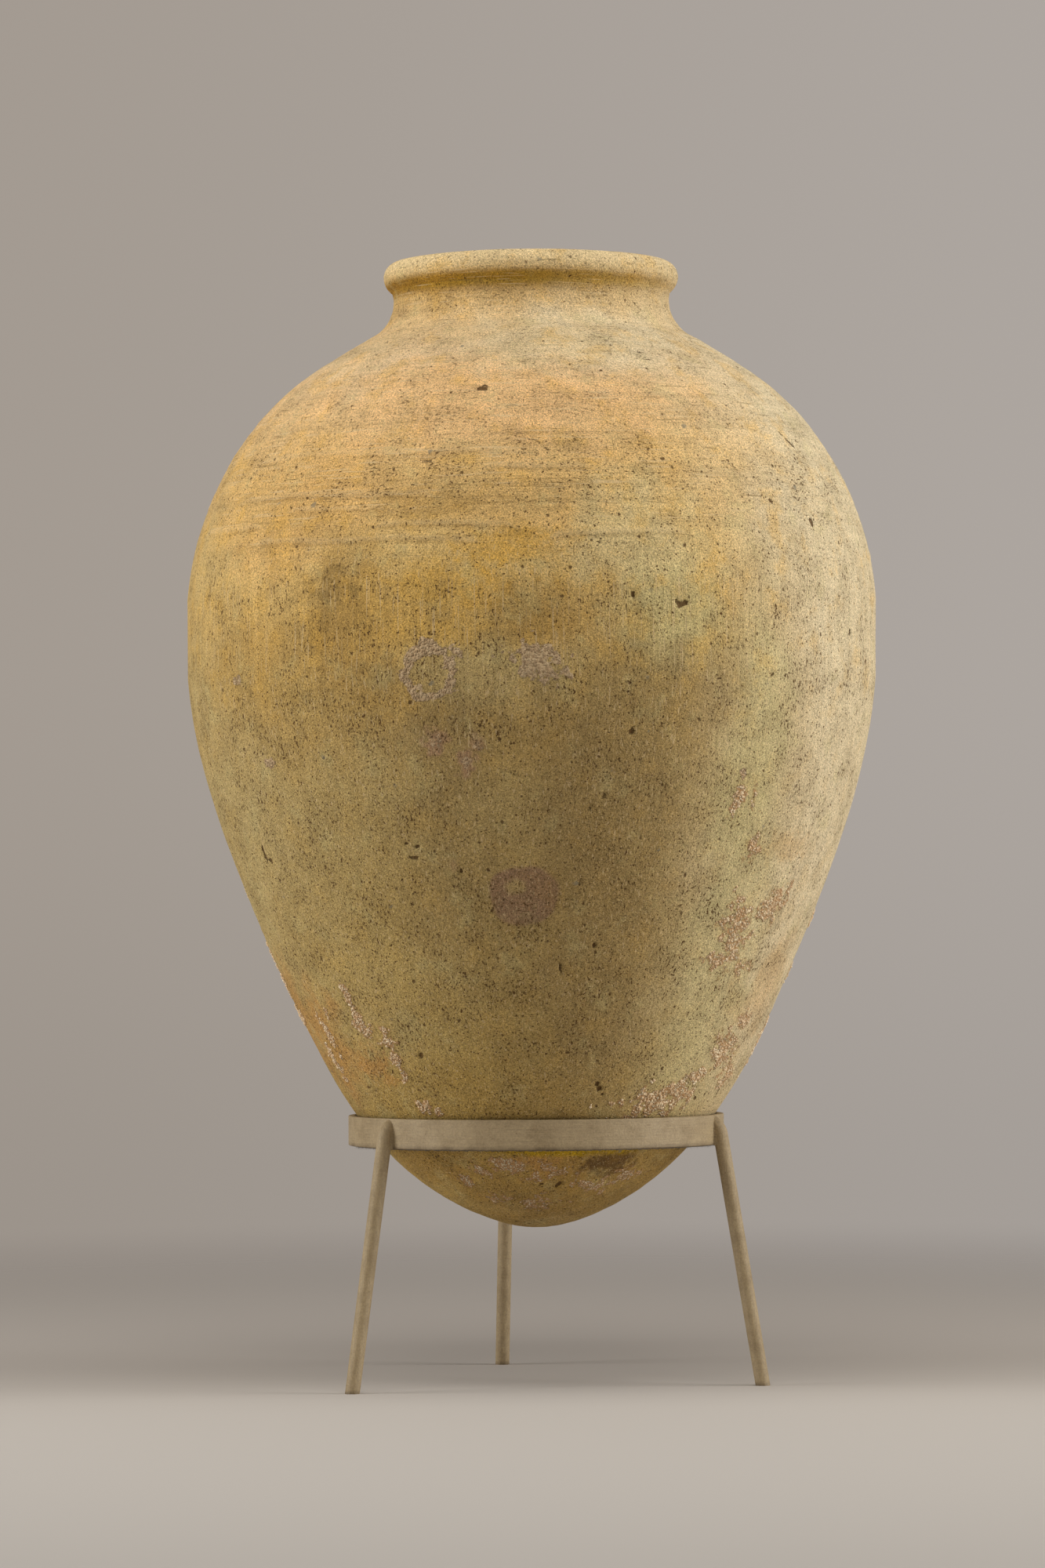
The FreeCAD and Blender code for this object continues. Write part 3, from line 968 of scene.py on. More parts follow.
# %% Grooves
GROOVES = [  # height in the middle, fall in mm a degree, from and to azimuth
    (594.8, 0.10, -56, -5),
    (604.5, 0.06, -28, -1),
    (628.0, 0.08, -64, -13),
    (618.5, 0.02, -46, -24),
    (657.5, 0.05, -64, 4),
    (645.0, 0.00, -10, 13),
    (597.5, -0.10, 1, 27),
    (609.0, -0.04, -74, -50),
    (640.0, 0.02, 28, 52),
    (598.0, 0.03, 110, 190),
    (626.0, -0.02, 150, 260),
    (652.0, 0.04, 95, 170),
]
NO_GROOVE = 9.0  # distance in mm at which a groove isn't felt any more


def groove_distances():
    nearest = np.full_like(height_mm, NO_GROOVE)
    for height, fall, start, end in GROOVES:
        half = (end - start) / 2
        sideways = turned_away(azimuth_deg, (start + end) / 2)
        off = height_mm - height + fall * sideways + slow_waves * 0.7 + quick_waves * 0.25
        gone = NO_GROOVE * smooth_step(np.abs(sideways), half * 0.75, half)
        off += np.where(off > 0, gone, -gone)
        nearest = np.where(np.abs(off) < np.abs(nearest), off, nearest)
    return nearest


groove = groove_distances()
print("grooves:", len(GROOVES))

# %% [markdown]
# ## Working the clay with Geometry Nodes
# Above the belly the jar was thrown: level finger lines run round it. Below, it was
# scraped upright with a tool. Both are noise stretched one way, added to slow lumps from
# the hands. A node tree is the right tool, because each mark is a rule with a depth and a
# pitch that can be changed in one place, and the whole net is worked at once.


# %% Start and end of a tree
def new_tree(name, inputs, result):
    """A Geometry Nodes tree, and a flow for each of its named inputs."""
    tree = bpy.data.node_groups.new(name, "GeometryNodeTree")
    for label, value in inputs.items():
        kind = value if isinstance(value, str) else {int: "Int", float: "Float"}[type(value)]
        socket = tree.interface.new_socket(
            name=label, in_out="INPUT", socket_type="NodeSocket" + kind
        )
        if value != kind:
            socket.default_value = value
    tree.interface.new_socket(name=result, in_out="OUTPUT", socket_type="NodeSocketGeometry")
    given = add_node(tree, "NodeGroupInput")
    return tree, [given.beside(k) for k in range(len(inputs))]


def close_tree(geometry, finish):
    """The end of a tree: real faces that carry their finish."""
    tree = geometry.tree
    plain = add_node(tree, "GeometryNodeRealizeInstances", {"Geometry": geometry})
    feeds = {"Geometry": plain, "Material": finish}
    add_node(tree, "NodeGroupOutput", {0: add_node(tree, "GeometryNodeSetMaterial", feeds)})
    return tree


def stored(tree, name, kind="FLOAT"):
    """A value that the mesh remembers for each of its points."""
    feeds = {"Name": name}
    return add_node(tree, "GeometryNodeInputNamedAttribute", feeds, "Attribute", data_type=kind)


# %% Relief tree
def stretched(place, *sizes):
    """Noise from -0.5 to 0.5 on a place in metres, with its own size in mm along each way."""
    return noise(place * tuple(1000 / size for size in sizes), 1.0, 2.0, 0.55) - 0.5


def relief_tree():
    inputs = {
        "Clay": "Geometry",
        "Finger line depth": 0.9 * MM,
        "Broad ring depth": 1.3 * MM,
        "Scrape depth": 0.9 * MM,
        "Lump depth": 2.0 * MM,
        "Crust height": 0.9 * MM,
        "Finish": "Material",
    }
    tree, flows = new_tree("work_the_clay", inputs, "Worked")
    clay, finger_depth, ring_depth, scrape_depth, lump_depth, crust_height, finish = flows
    place = add_node(tree, "GeometryNodeInputPosition")
    thrown_here = stored(tree, "thrown")
    gritty = stretched(place, 4.5, 4.5, 4.5) + 0.55
    total = stored(tree, "crust") * crust_height * gritty
    total += stretched(place, 160, 160, 5.5) * thrown_here * finger_depth
    total += stretched(place, 420, 420, 24) * thrown_here * ring_depth
    total += stretched(place, 9, 9, 120) * (1 - thrown_here) * scrape_depth
    total += stretched(place, 120, 120, 90) * lump_depth
    total = total * stored(tree, "tool_share") - stored(tree, "set_back")
    shift = stored(tree, "outward", "FLOAT_VECTOR").times(total)
    moved = add_node(tree, "GeometryNodeSetPosition", {"Geometry": clay, "Offset": shift})
    return close_tree(moved, finish)


# %% [markdown]
# ## How strongly each place was worked
# The measured surface is the largest the jar may be, so the wall is first set back by what
# the relief may stand out. Dents, grooves and a flatter flank are set back too, and the
# ridges where two sections were luted together come forward. Where the felt holds the jar
# the relief is left out, so the seat stays true.

# %% How strongly each place was worked
OUTWARD_ROOM = 1.3 * MM  # the relief stands out at most this far
ONE_SIDED = 2.4 * MM  # a hand-built pot is never quite round: its right flank is flatter
FLAT_FLANK = (90, 520, 110)  # azimuth, height and reach in mm of that flank
SEAT_BAND = (160, 168, 196, 206)  # heights in mm between which the felt holds the jar
RIM_BAND = (782, 792)  # heights in mm over which the collar turns into the rim
THROWN_BAND = (560, 640)  # heights in mm over which scraping gives way to throwing
LUTE_RIDGES = [  # height, middle azimuth, reach to each side, height of the step, depth in mm
    (600, -22, 60, 3.5, 0.7),
    (635, -20, 55, 4.0, 0.5),
    (600, 160, 100, 3.0, 0.6),
]
GROOVE_DEPTH, GROOVE_HALF = 0.45 * MM, 1.6  # depth, and half width in mm
LIP_DEPTH, LIP_ABOVE, LIP_HALF = 0.35 * MM, 4.0, 2.4  # the ridge that a groove throws up


def lute_ridge(height, middle, reach, tall, depth):
    """A soft step that runs level round part of the jar, where two sections were joined."""
    sideways = np.abs(turned_away(azimuth_deg, middle))
    present = 1 - smooth_step(sideways, reach * 0.6, reach)
    return depth * MM * present * bell(height_mm - height - slow_waves * 1.2, tall)


def tool_share():
    """How strongly the relief shows: not in the seat, less in the throat and on the rim."""
    low, seat_low, seat_high, high = SEAT_BAND
    in_seat = smooth_step(height_mm, low, seat_low) - smooth_step(height_mm, seat_high, high)
    throat = np.arange(len(outside_rows))[:, None] > crest_row
    rim = smooth_step(height_mm, *RIM_BAND)
    return (1 - in_seat) * (1 - 0.55 * rim) * np.where(throat, 0.6, 1.0)


def set_back_depths():
    """How far each place lies behind the measured surface, in metres."""
    beside = (radius_mm.max() - radius_mm) * MM
    above = outside_rows[crest_row, 1] - outside_net[..., 2]
    depth = np.maximum(OUTWARD_ROOM * tool_share() - np.minimum(beside, above), 0)
    azimuth, height, reach = FLAT_FLANK
    flank = np.cos(np.radians(azimuth_deg - azimuth)).clip(0) ** 2
    depth += ONE_SIDED * flank * bell(height_mm - height, reach) + dent * MM
    depth += GROOVE_DEPTH * bell(groove, GROOVE_HALF)
    depth -= LIP_DEPTH * bell(groove - LIP_ABOVE, LIP_HALF)
    return depth - sum(lute_ridge(*ridge) for ridge in LUTE_RIDGES)


thrown = smooth_step(height_mm + middling_waves * 6, *THROWN_BAND)
set_back = set_back_depths()
print("set back at most", round(float(set_back.max() / MM), 2), "mm")

# %% [markdown]
# ## The crust's finish
# Salt crust is a pack of crumbs: cream grains with rusty gaps low down, a thin pinkish
# film higher up. Its edge is broken by noise, so one smooth amount gives ragged islands with a
# stained halo, and the same broken amount later tells where real grains stand.

# %% Crust finish
CRUST_EDGE = (1.68, 1.84)  # the broken amount from which crust covers the clay
HALO_EDGE = (1.44, 1.68)
SALTY_BELOW = (440, 428)  # heights in mm below which the crust is a salty one


def crumbs(place):
    return noise(place, 3.2, 4.0, 0.7)


def crust_thickness(place, crust_here):
    """The crust's amount broken up by crumbs and flakes."""
    amount = crumbs(place).scaled(1.75, crust_here)
    return noise(place, 8.5, 3.0, 0.6).scaled(0.75, amount)


def told(place, name, output="Fac"):
    """What the mesh remembers under this name, for a material."""
    return add_node(place.tree, "ShaderNodeAttribute", output=output, attribute_name=name)


def crust_finish(place):
    """Where the crust lies, its colour, its halo and how its grains stand."""
    salty = ramp(place.part(2), *SALTY_BELOW)
    distance, pick, _ = cells(uneven_place(place, 3.0, 0.6), 1.6)
    tops = ramp(distance, 0.7, 0.1)
    amount = crust_thickness(place, told(place, "crust"))
    crusted = ramp(amount, *CRUST_EDGE)
    film = mixed(ramp(pick, 0.1, 1.0, 0.25, 0.9), MAUVE_PINK, RING_CREAM)
    grains = mixed(ramp(pick, 0.3, 0.9), PALE_CRUST, GRAIN_CREAM)
    gaps = ramp(tops, 0.75, 0.1) * salty
    tone = mixed(gaps * 0.8, mixed(salty, film, grains), GRAIN_GAP)
    tone = shaded(tone, contrast(crumbs(place), 0.2), 0.16)
    return crusted, tone, ramp(amount, *HALO_EDGE) * salty, tops * crusted


# %% [markdown]
# ## The clay's finish
# Fired marl is dry and dull, with sand in it, fine pits drawn out by the tool, dark specks
# of burnt chaff and a bloom that differs from place to place. All of it is made of noise
# in real sizes on the object's own coordinates. The colour on the mesh gives the broad
# tones, and the finish only varies them, so one tree serves all four clay finishes.
# Pits, chips and dent floors are painted dark as shade, the grooves get a thin line of painted shade,
# and the lips above them a painted highlight.

# %% Marks in the clay
SMUDGES_BELOW = (798, 780)  # heights in mm: the rim was handled clean
PALE_SPECKS_ABOVE = (690, 640)  # the specks are paler on the shoulder
CHIPS_ABOVE = (794, 800)  # chips only on the rim


def along_tool(place, level, upright, detail=2.0, roughness=0.6):
    """Noise drawn out level where the jar was thrown and upright where it was scraped."""
    values = {
        0: told(place, "thrown"),
        2: drawn_noise(place, upright, detail, roughness),
        3: drawn_noise(place, level, detail, roughness),
    }
    return add_node(place.tree, "ShaderNodeMix", values)


def stained_clay(place):
    """The ground with slow blooms, level bands, upright streaks and warm flushes."""
    mottle = noise(place, 9.0, 3.0, 0.65)
    warmth = noise(place + (517, 0, 0), 26.0, 5.0, 0.66)
    drawn = along_tool(place, (260, 260, 8), (7, 7, 110), 4.0)
    colour = shaded(told(place, "ground_colour", "Color"), noise(place, 34.0, 4.0, 0.6), 0.08)
    warm = ramp(warmth, 0.5, 0.68) * ramp(place.part(2), 440, 560, 0.1, 0.34)
    colour = mixed(warm, colour, FLUSH)
    colour = mixed(ramp(warmth, 0.47, 0.32, 0.0, 0.3), colour, PALE_GREEN)
    colour = shaded(colour, contrast(drawn, 0.2), 0.06)
    return shaded(colour, mottle, 0.08), mottle


def clay_specks(place, ragged, crowd):
    """Dark specks of burnt chaff, crowded where the clay is smudged."""
    specks = along_tool(place, (3.0, 3.0, 1.3), (1.5, 1.5, 3.0))
    specks = ramp(crowd.scaled(0.1, specks), 0.68, 0.73)
    specks = specks.reckon("MAXIMUM", spots(ragged, 3.4, 0.12, 0.32, crowd.scaled(0.35, 0.52)))
    return specks.reckon("MAXIMUM", spots(ragged, 2.3, 0.14, 0.36, 0.55))


def pit_and_dent_shade(place, ragged, sand):
    """Pits all over, chips along the rim and the floors of the dents, all painted dark as shade."""
    pits = spots(ragged * (1, 1, 0.8), 8.0, 0.08, 0.2, 0.5)
    chips = spots(ragged, 4.6, 0.12, 0.34, 0.5)
    pits = chips.scaled(ramp(place.part(2), *CHIPS_ABOVE, 0.0, 0.6), pits)
    return pits.reckon("MAXIMUM", ramp(sand.scaled(-0.35, told(place, "dent")), 0.5, 0.95))


def groove_shade_and_highlight(place):
    """The thin line of painted shade in each groove, broken here and there, and the painted highlight
    on the lip above it.
    """
    above = told(place, "groove")
    line = ramp(above.reckon("ABSOLUTE"), 2.2, 0.3)
    line = line * ramp(noise(place, 12.0, 4.0, 0.7), 0.42, 0.62)
    return line, ramp((above - 3.4).reckon("ABSOLUTE"), 3.0, 0.6)


# %% Clay finish
def clay_finish(name, preview):
    material, place = new_finish(name, preview)
    lines = contrast(along_tool(place, (60, 60, 2.2), (2.6, 2.6, 38), 4.0, 0.65), 0.24)
    finger = ramp(drawn_noise(place, (160, 160, 5.5), 2.0, 0.55), 0.46, 0.3)
    finger = finger * told(place, "thrown")
    sand = contrast(noise(place, 1.0, 3.0, 0.75), 0.2)
    grit = contrast(noise(place, 2.6, 3.0, 0.65), 0.22)
    colour, mottle = stained_clay(place)
    for value, swing in ((lines, 0.04), (0.6 - finger, 0.04), (grit, 0.05), (sand, 0.46)):
        colour = shaded(colour, value, swing)

    ragged = uneven_place(place, 2.2, 2.6)
    crowd = ramp(noise(place, 30.0, 4.0, 0.66), 0.4, 0.66)
    crowd = crowd * ramp(place.part(2), *SMUDGES_BELOW, 0.3, 1.0)
    specks = clay_specks(place, ragged, crowd)
    pits = pit_and_dent_shade(place, ragged, sand)
    line, lip = groove_shade_and_highlight(place)
    scratches = along_tool(place, (34, 34, 1.2), (1.2, 1.2, 34), 2.0, 0.5)
    grey = spots(uneven_place(place, 4.0, 4.0), 26.0, 0.05, 0.11, 0.35)
    laid_on = [  # how much, of which colour
        (crowd * 0.2, SMUDGE),
        # painted highlight on the lips above the grooves
        (lip * 0.2, PALE_TAN),
        (ramp(scratches, 0.6, 0.68, 0.0, 0.5), PALE_TAN),
        (ramp(scratches, 0.36, 0.28, 0.0, 0.5), SMUDGE),
        # painted shade in the grooves
        (line * 0.14, PIT_BROWN),
        (specks * ramp(place.part(2), *PALE_SPECKS_ABOVE, 0.55, 0.95), PIT_BROWN),
        (grey * 0.7, FLECK_GREY),
        # painted shade in the pits, chips and dent floors
        (pits * 0.88, PIT_BROWN),
    ]
    for share, tone in laid_on:
        colour = mixed(share, colour, tone)
    crusted, tone, halo, tops = crust_finish(place)
    colour = mixed(halo * 0.3, colour.times(1.11), ORANGE_BROWN)
    colour = mixed(crusted * 0.9, colour, tone)

    bumps = [  # what, and how high it stands in millimetres
        (lines, 0.12),
        (finger, -0.3),
        (sand, 0.16),
        (grit, 0.3),
        (mottle, 0.9),
        (specks, -0.4),
        (pits, -1.0),
        (line, -0.32),
        (crusted, 0.3),
        (tops, 1.3),
    ]
    height = 0.0
    for value, millimetres in bumps:
        height = value.scaled(millimetres, height)
    rough = specks.scaled(0.06, mottle.scaled(0.14, 0.8))
    return close_finish(material, colour, rough, 0.22, height, MM)


CLAY_PREVIEWS = {
    "clay_rim": CREAM,
    "clay_shoulder": PEACH,
    "clay_body": OLIVE,
    "clay_base": BROWN_OCHRE,
}
clay_finishes = {name: clay_finish(name, tone) for name, tone in CLAY_PREVIEWS.items()}
print("clay finishes:", ", ".join(clay_finishes))

# %% [markdown]
# ## Meshes from arrays
# A net of a million faces is quick to make when Blender is handed whole arrays. Faces are
# worked out by counting rows and columns, and what a point has to remember is stored as
# an attribute that the trees and the finishes read by name.


# %% Meshes from arrays
def mesh_from(name, places, faces):
    """A mesh from places and a list of arrays of faces; each array has its own corner count."""
    mesh = bpy.data.meshes.new(name)
    mesh.vertices.add(len(places))
    mesh.vertices.foreach_set("co", np.ascontiguousarray(places, dtype=np.float32).ravel())
    sizes = np.concatenate([np.full(len(part), part.shape[1]) for part in faces])
    corners = np.concatenate([part.ravel() for part in faces])
    mesh.loops.add(len(corners))
    mesh.loops.foreach_set("vertex_index", corners.astype(np.int32))
    mesh.polygons.add(len(sizes))
    starts = np.concatenate([[0], np.cumsum(sizes)[:-1]])
    mesh.polygons.foreach_set("loop_start", starts.astype(np.int32))
    mesh.update(calc_edges=True)
    mesh.validate()
    return mesh


def net_faces(rows, columns, first=0):
    """Four-cornered faces between neighbouring rows of a net that closes on itself."""
    row, column = np.meshgrid(np.arange(rows - 1), np.arange(columns), indexing="ij")
    ahead = (column + 1) % columns
    corners = (
        row * columns + column,
        row * columns + ahead,
        (row + 1) * columns + ahead,
        (row + 1) * columns + column,
    )
    return first + np.stack(corners, axis=-1).reshape(-1, 4)


def remember(mesh, name, values, kind="FLOAT"):
    """Store one value, colour or direction for each point of a mesh."""
    layer = mesh.attributes.new(name, kind, "POINT")
    key = {"FLOAT": "value", "FLOAT_VECTOR": "vector", "FLOAT_COLOR": "color"}[kind]
    layer.data.foreach_set(key, np.ascontiguousarray(values, dtype=np.float32).ravel())


# %% [markdown]
# ## From net to worked wall
# Both nets go into one mesh, the tree works it, and the result is read back as places
# and smooth directions. The lining gets its own plain amounts: it was only wiped.


# %% Run a tree on a mesh
def run_tree(mesh, tree, inputs, name):
    """What a Geometry Nodes tree makes of a mesh, as a plain mesh."""
    worked = link(name, mesh)
    modifier = worked.modifiers.new("tree", "NODES")
    modifier.node_group = tree
    sockets = {item.name: item.identifier for item in tree.interface.items_tree}
    for key, value in inputs.items():
        modifier[sockets[key]] = value
    evaluated = worked.evaluated_get(bpy.context.evaluated_depsgraph_get())
    plain = bpy.data.meshes.new_from_object(evaluated)
    bpy.data.objects.remove(worked)
    return plain


# %% The worked wall
outside_count, lining_count = outside_net[..., 0].size, lining_net[..., 0].size


def both_nets(outside, lining):
    """Values of the outside's points, then of the lining's; the lining's may be one number."""
    outside = outside.reshape(outside_count, -1)
    inside = np.empty((lining_count, outside.shape[1]))
    inside[:] = np.reshape(lining, (-1, outside.shape[1]))
    return np.concatenate([outside, inside])


def blank_wall():
    """The unworked wall: both nets with what the relief tree needs to know."""
    faces = [net_faces(*outside_net.shape[:2])]
    faces.append(net_faces(*lining_net.shape[:2], first=outside_count))
    mesh = mesh_from("blank_wall", both_nets(outside_net, lining_net), faces)
    ways = turned(outward(outside_rows), COLUMNS), turned(outward(lining_rows), LINING_COLUMNS)
    remember(mesh, "outward", both_nets(*ways), "FLOAT_VECTOR")
    remember(mesh, "thrown", both_nets(thrown, 1.0))
    remember(mesh, "crust", both_nets(crust, 0.0))
    remember(mesh, "tool_share", both_nets(tool_share(), 0.5))
    remember(mesh, "set_back", both_nets(set_back, 0.0))
    return mesh


worked = run_tree(blank_wall(), relief_tree(), {"Finish": clay_finishes["clay_body"]}, "wall")
worked_places = read_back(worked.vertices, "co", 3)
worked_ways = read_back(worked.vertex_normals, "vector", 3)
outside_worked = worked_places[:outside_count].reshape(outside_net.shape)
outside_shine = worked_ways[:outside_count].reshape(outside_net.shape)
lining_worked = worked_places[outside_count:].reshape(lining_net.shape)
worked_top = float(outside_worked[..., 2].max())
print("worked outside, highest place:", round(worked_top / MM, 1), "mm")

# %% [markdown]
# ## Cutting the wall into pieces
# A mesh of more than a million faces is slow to handle, so the wall is cut into closed
# rings that each keep well below 200,000 triangles. The rings meet exactly, and each keeps
# the smooth directions of the whole wall, so no joint shows. Every ring also gets a flat
# layout of its own: its outside folded into three strips, its lining in a narrow one below.


# %% Stitching rings
def corner(ring, column, count, share=None):
    share = column / count if share is None else share
    return np.stack([np.full(len(column), ring), column % count, share], axis=-1)


def stitch(below, above):
    """Faces between two rings of points: for each corner its ring, column and share of a turn."""
    fine = np.arange(max(below, above))
    if below == above:
        ends = ((0, fine), (0, fine + 1), (1, fine + 1), (1, fine))
        return [np.stack([corner(ring, column, below) for ring, column in ends], axis=1)]
    flip = above > below  # the finer ring comes second
    near, far = (1, 0) if flip else (0, 1)
    few = min(below, above)
    step = len(fine) // few
    edge = [corner(near, fine, len(fine)), corner(near, fine + 1, len(fine))]
    if few == 1:
        tip = corner(far, 0 * fine, 1, (fine + 0.5) / len(fine))
        faces = [np.stack([*edge, tip], axis=1)]
    else:
        block = np.arange(few)
        wedges = [
            corner(near, (block + 1) * step, len(fine)),
            corner(far, block + 1, few),
            corner(far, block, few),
        ]
        fans = [*edge, corner(far, fine // step, few)]
        faces = [np.stack(fans, axis=1), np.stack(wedges, axis=1)]
    return [part[:, ::-1] for part in faces] if flip else faces


# %% Flat layout of a ring
STRIPS = 3  # strips that a ring's outside is folded into
MARGIN = 0.01
LINING_STRIP = 0.07  # height of the lining's strip in the layout


def layout_outside(share, along):
    """Flat places of outside corners, folded into strips."""
    strip = np.floor(share.min(axis=1, keepdims=True) * STRIPS + 1e-6)
    across = share * STRIPS - strip
    up = (strip + MARGIN + along * (1 - 2 * MARGIN)) / STRIPS
    up = LINING_STRIP + MARGIN + up * (1 - LINING_STRIP - 2 * MARGIN)
    return np.stack([MARGIN + across * (1 - 2 * MARGIN), up], axis=-1)


def layout_lining(share, along):
    up = MARGIN / 2 + along * (LINING_STRIP - MARGIN)
    return np.stack([MARGIN + share * (1 - 2 * MARGIN), up], axis=-1)


def ring_loop(rings, outside_rings):
    """All faces and flat places of a closed loop of rings; a ring of one point is a pole."""
    counts = [len(ring) for ring in rings]
    starts = np.concatenate([[0], np.cumsum(counts)])
    pairs = [(i, i + 1) for i in range(len(rings) - 1)]
    if counts[0] > 1:
        pairs.append((len(rings) - 1, 0))
    outer_steps = outside_rings - 1
    inner_steps = max(len(pairs) - outer_steps, 1)
    faces, flats = [], []
    for step, (lower, upper) in enumerate(pairs):
        first = np.array([starts[lower], starts[upper]])
        for part in stitch(counts[lower], counts[upper]):
            ring = part[..., 0].astype(int)
            faces.append(first[ring] + part[..., 1].astype(int))
            if step < outer_steps:
                flats.append(layout_outside(part[..., 2], (step + ring) / outer_steps))
            else:
                inner = (step - outer_steps + ring) / inner_steps
                flats.append(layout_lining(part[..., 2], inner))
    return faces, flats


# %% [markdown]
# ## The clay pieces
# Each measured clay section is replaced by its own rings, cut at even rows. A ring takes
# its outside from the worked net and its inside from the lining's rows opposite, carries
# the colours and amounts that its finish reads, and rides on the jar.

# %% One ring
SLOT_OF = {row["node"]: row["material_slot"] for row in frame["record"]["subparts"]}


def nearest_lining(row):
    """The lining's row that lies opposite a row of the outside."""
    return int(np.linalg.norm(lining_rows - outside_rows[row], axis=1).argmin())


def ring_values(rows, lining, outside_values, lining_values):
    """Values of the chosen rows, one ring after the other; at a pole only one is kept."""
    rings = [outside_values[row] for row in rows] + [lining_values[row] for row in lining]
    if outside_rows[rows[0], 0] < SAME:
        rings[0], rings[-1] = rings[0][:1], rings[-1][:1]
    return rings


def clay_ring(name, node, rows, lining):
    """One closed ring of the worked wall as a finished piece."""
    places = ring_values(rows, lining, outside_worked, lining_worked)
    faces, flats = ring_loop(places, len(rows))
    mesh = mesh_from(name, np.concatenate(places), faces)
    tone = np.concatenate([ground_colour, np.ones((*height_mm.shape, 1))], axis=-1)
    layers = [  # name, values outside, value inside, kind
        ("ground_colour", tone, (*LINING_TONE, 1), "FLOAT_COLOR"),
        ("thrown", thrown, 1, "FLOAT"),
        ("crust", crust, 0, "FLOAT"),
        ("dent", dent, 0, "FLOAT"),
        ("groove", groove, NO_GROOVE, "FLOAT"),
    ]
    for key, values, inside, kind in layers:
        plain = np.broadcast_to(inside, (*lining_net.shape[:2], *values.shape[2:]))
        values = np.concatenate(ring_values(rows, lining, values, plain))
        remember(mesh, key, values, kind)
    flat = mesh.uv_layers.new(name="OFBake")
    corners = np.concatenate([part.reshape(-1, 2) for part in flats]).astype(np.float32)
    flat.uv.foreach_set("vector", corners.ravel())
    mesh.shade_smooth()
    shine = ring_values(rows, lining, outside_shine, np.zeros_like(lining_worked))
    mesh.normals_split_custom_set_from_vertices(np.concatenate(shine))
    slot = SLOT_OF[node]
    mesh.materials.append(clay_finishes[slot])
    piece = link(name, mesh)
    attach(piece, "jar")
    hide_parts(node)
    triangles = sum(len(part) * (part.shape[1] - 2) for part in faces)
    print(f"{name}: {len(rows)} rows, {triangles} triangles")


# %% All clay pieces
ROWS_PER_PIECE = 92


def clay_rings(node):
    first, last = outside_spans[node]
    bands = math.ceil((last - first) / ROWS_PER_PIECE)
    cuts = np.linspace(first, last, bands + 1).round().astype(int)
    if node in lining_spans:
        top, bottom = lining_spans[node]
        inner_cuts = [bottom, *(nearest_lining(cut) for cut in cuts[1:-1]), top]
    for i, (start, end) in enumerate(zip(cuts, cuts[1:])):
        name = f"{node}_skin" + (f"_{i + 1}" if bands > 1 else "")
        lining = range(inner_cuts[i + 1], inner_cuts[i] + 1) if node in lining_spans else ()
        clay_ring(name, node, range(start, end + 1), lining)


for node in CLAY:
    clay_rings(node)
print("clay sections dressed:", len(CLAY))

# %% [markdown]
# ## Grains on the crust
# Where the salt crust is thick it stands out in separate grains, which catch the light at
# the jar's flanks. Thousands of small stones are a job for Geometry Nodes: points are
# scattered where the crust is thick, by the same noise that the finish uses, and a stone
# of a few faces is put on each, turned and sized at random.

# %% Grain tree
GRAIN_RADIUS = (0.45 * MM, 1.05 * MM)  # smallest and largest
GRAINS_PER_SQUARE_METRE = 230_000.0
GRAIN_CRUST = 1.78  # grains stand where the broken crust is thicker than this
FULL_TURN = 6.28  # in radians


def random_number(tree, low, high, seed):
    """A number, or three of them, picked at random for each point."""
    three = isinstance(low, tuple)
    first, last, output, kind = (0, 1, 0, "FLOAT_VECTOR") if three else (2, 3, 1, "FLOAT")
    feeds = {"Seed": seed, first: low, last: high}
    return add_node(tree, "FunctionNodeRandomValue", feeds, output, data_type=kind)


def scattered(mesh, where, density, seed):
    """Points at random on the chosen faces."""
    feeds = {"Mesh": mesh, "Selection": where, "Density": density, "Seed": seed}
    return add_node(mesh.tree, "GeometryNodeDistributePointsOnFaces", feeds)


def strewn(points, thing, turn, size, finish):
    """The end of a tree that puts a thing on every point, turned and sized."""
    feeds = {"Points": points, "Instance": thing, "Rotation": turn, "Scale": size}
    return close_tree(add_node(points.tree, "GeometryNodeInstanceOnPoints", feeds), finish)


def grain_tree():
    inputs = {
        "Wall": "Geometry",
        "Grains per area": GRAINS_PER_SQUARE_METRE,
        "Smallest grain": GRAIN_RADIUS[0],
        "Largest grain": GRAIN_RADIUS[1],
        "Seed": 4,
        "Finish": "Material",
    }
    tree, flows = new_tree("scatter_grains", inputs, "Grains")
    wall, density, smallest, largest, seed, finish = flows
    place = add_node(tree, "GeometryNodeInputPosition") * (1000, 1000, 1000)
    thick = crust_thickness(place, stored(tree, "crust")).reckon("GREATER_THAN", GRAIN_CRUST)
    stone = add_node(tree, "GeometryNodeMeshIcoSphere", {"Radius": 1.0, "Subdivisions": 1})
    turn = random_number(tree, (0, 0, 0), (FULL_TURN, FULL_TURN, FULL_TURN), 3)
    squash = random_number(tree, (0.7, 0.7, 0.7), (1.3, 1.3, 1.3), 2)
    size = squash.times(random_number(tree, smallest, largest, 1))
    return strewn(scattered(wall, thick, density, seed), stone, turn, size, finish)


# %% Salt grains
CRUST_HEIGHTS = (200, 430)  # in mm: above, the crust is smooth
LEAST_CRUST = 0.3  # faces with less are left out of the search


def grain_finish():
    material, place = new_finish("salt_grains", GRAIN_CREAM)
    pale = contrast(noise(place, 3.0), 0.14)
    rusty = contrast(noise(place + (0, 0, 97), 6.0), 0.16)
    colour = mixed(rusty * 0.45, mixed(pale, PALE_CRUST, GRAIN_CREAM), GRAIN_RUST)
    return close_finish(material, colour, 0.85, 0.25, noise(place, 0.6, 2.0, 0.6), 0.2 * MM)


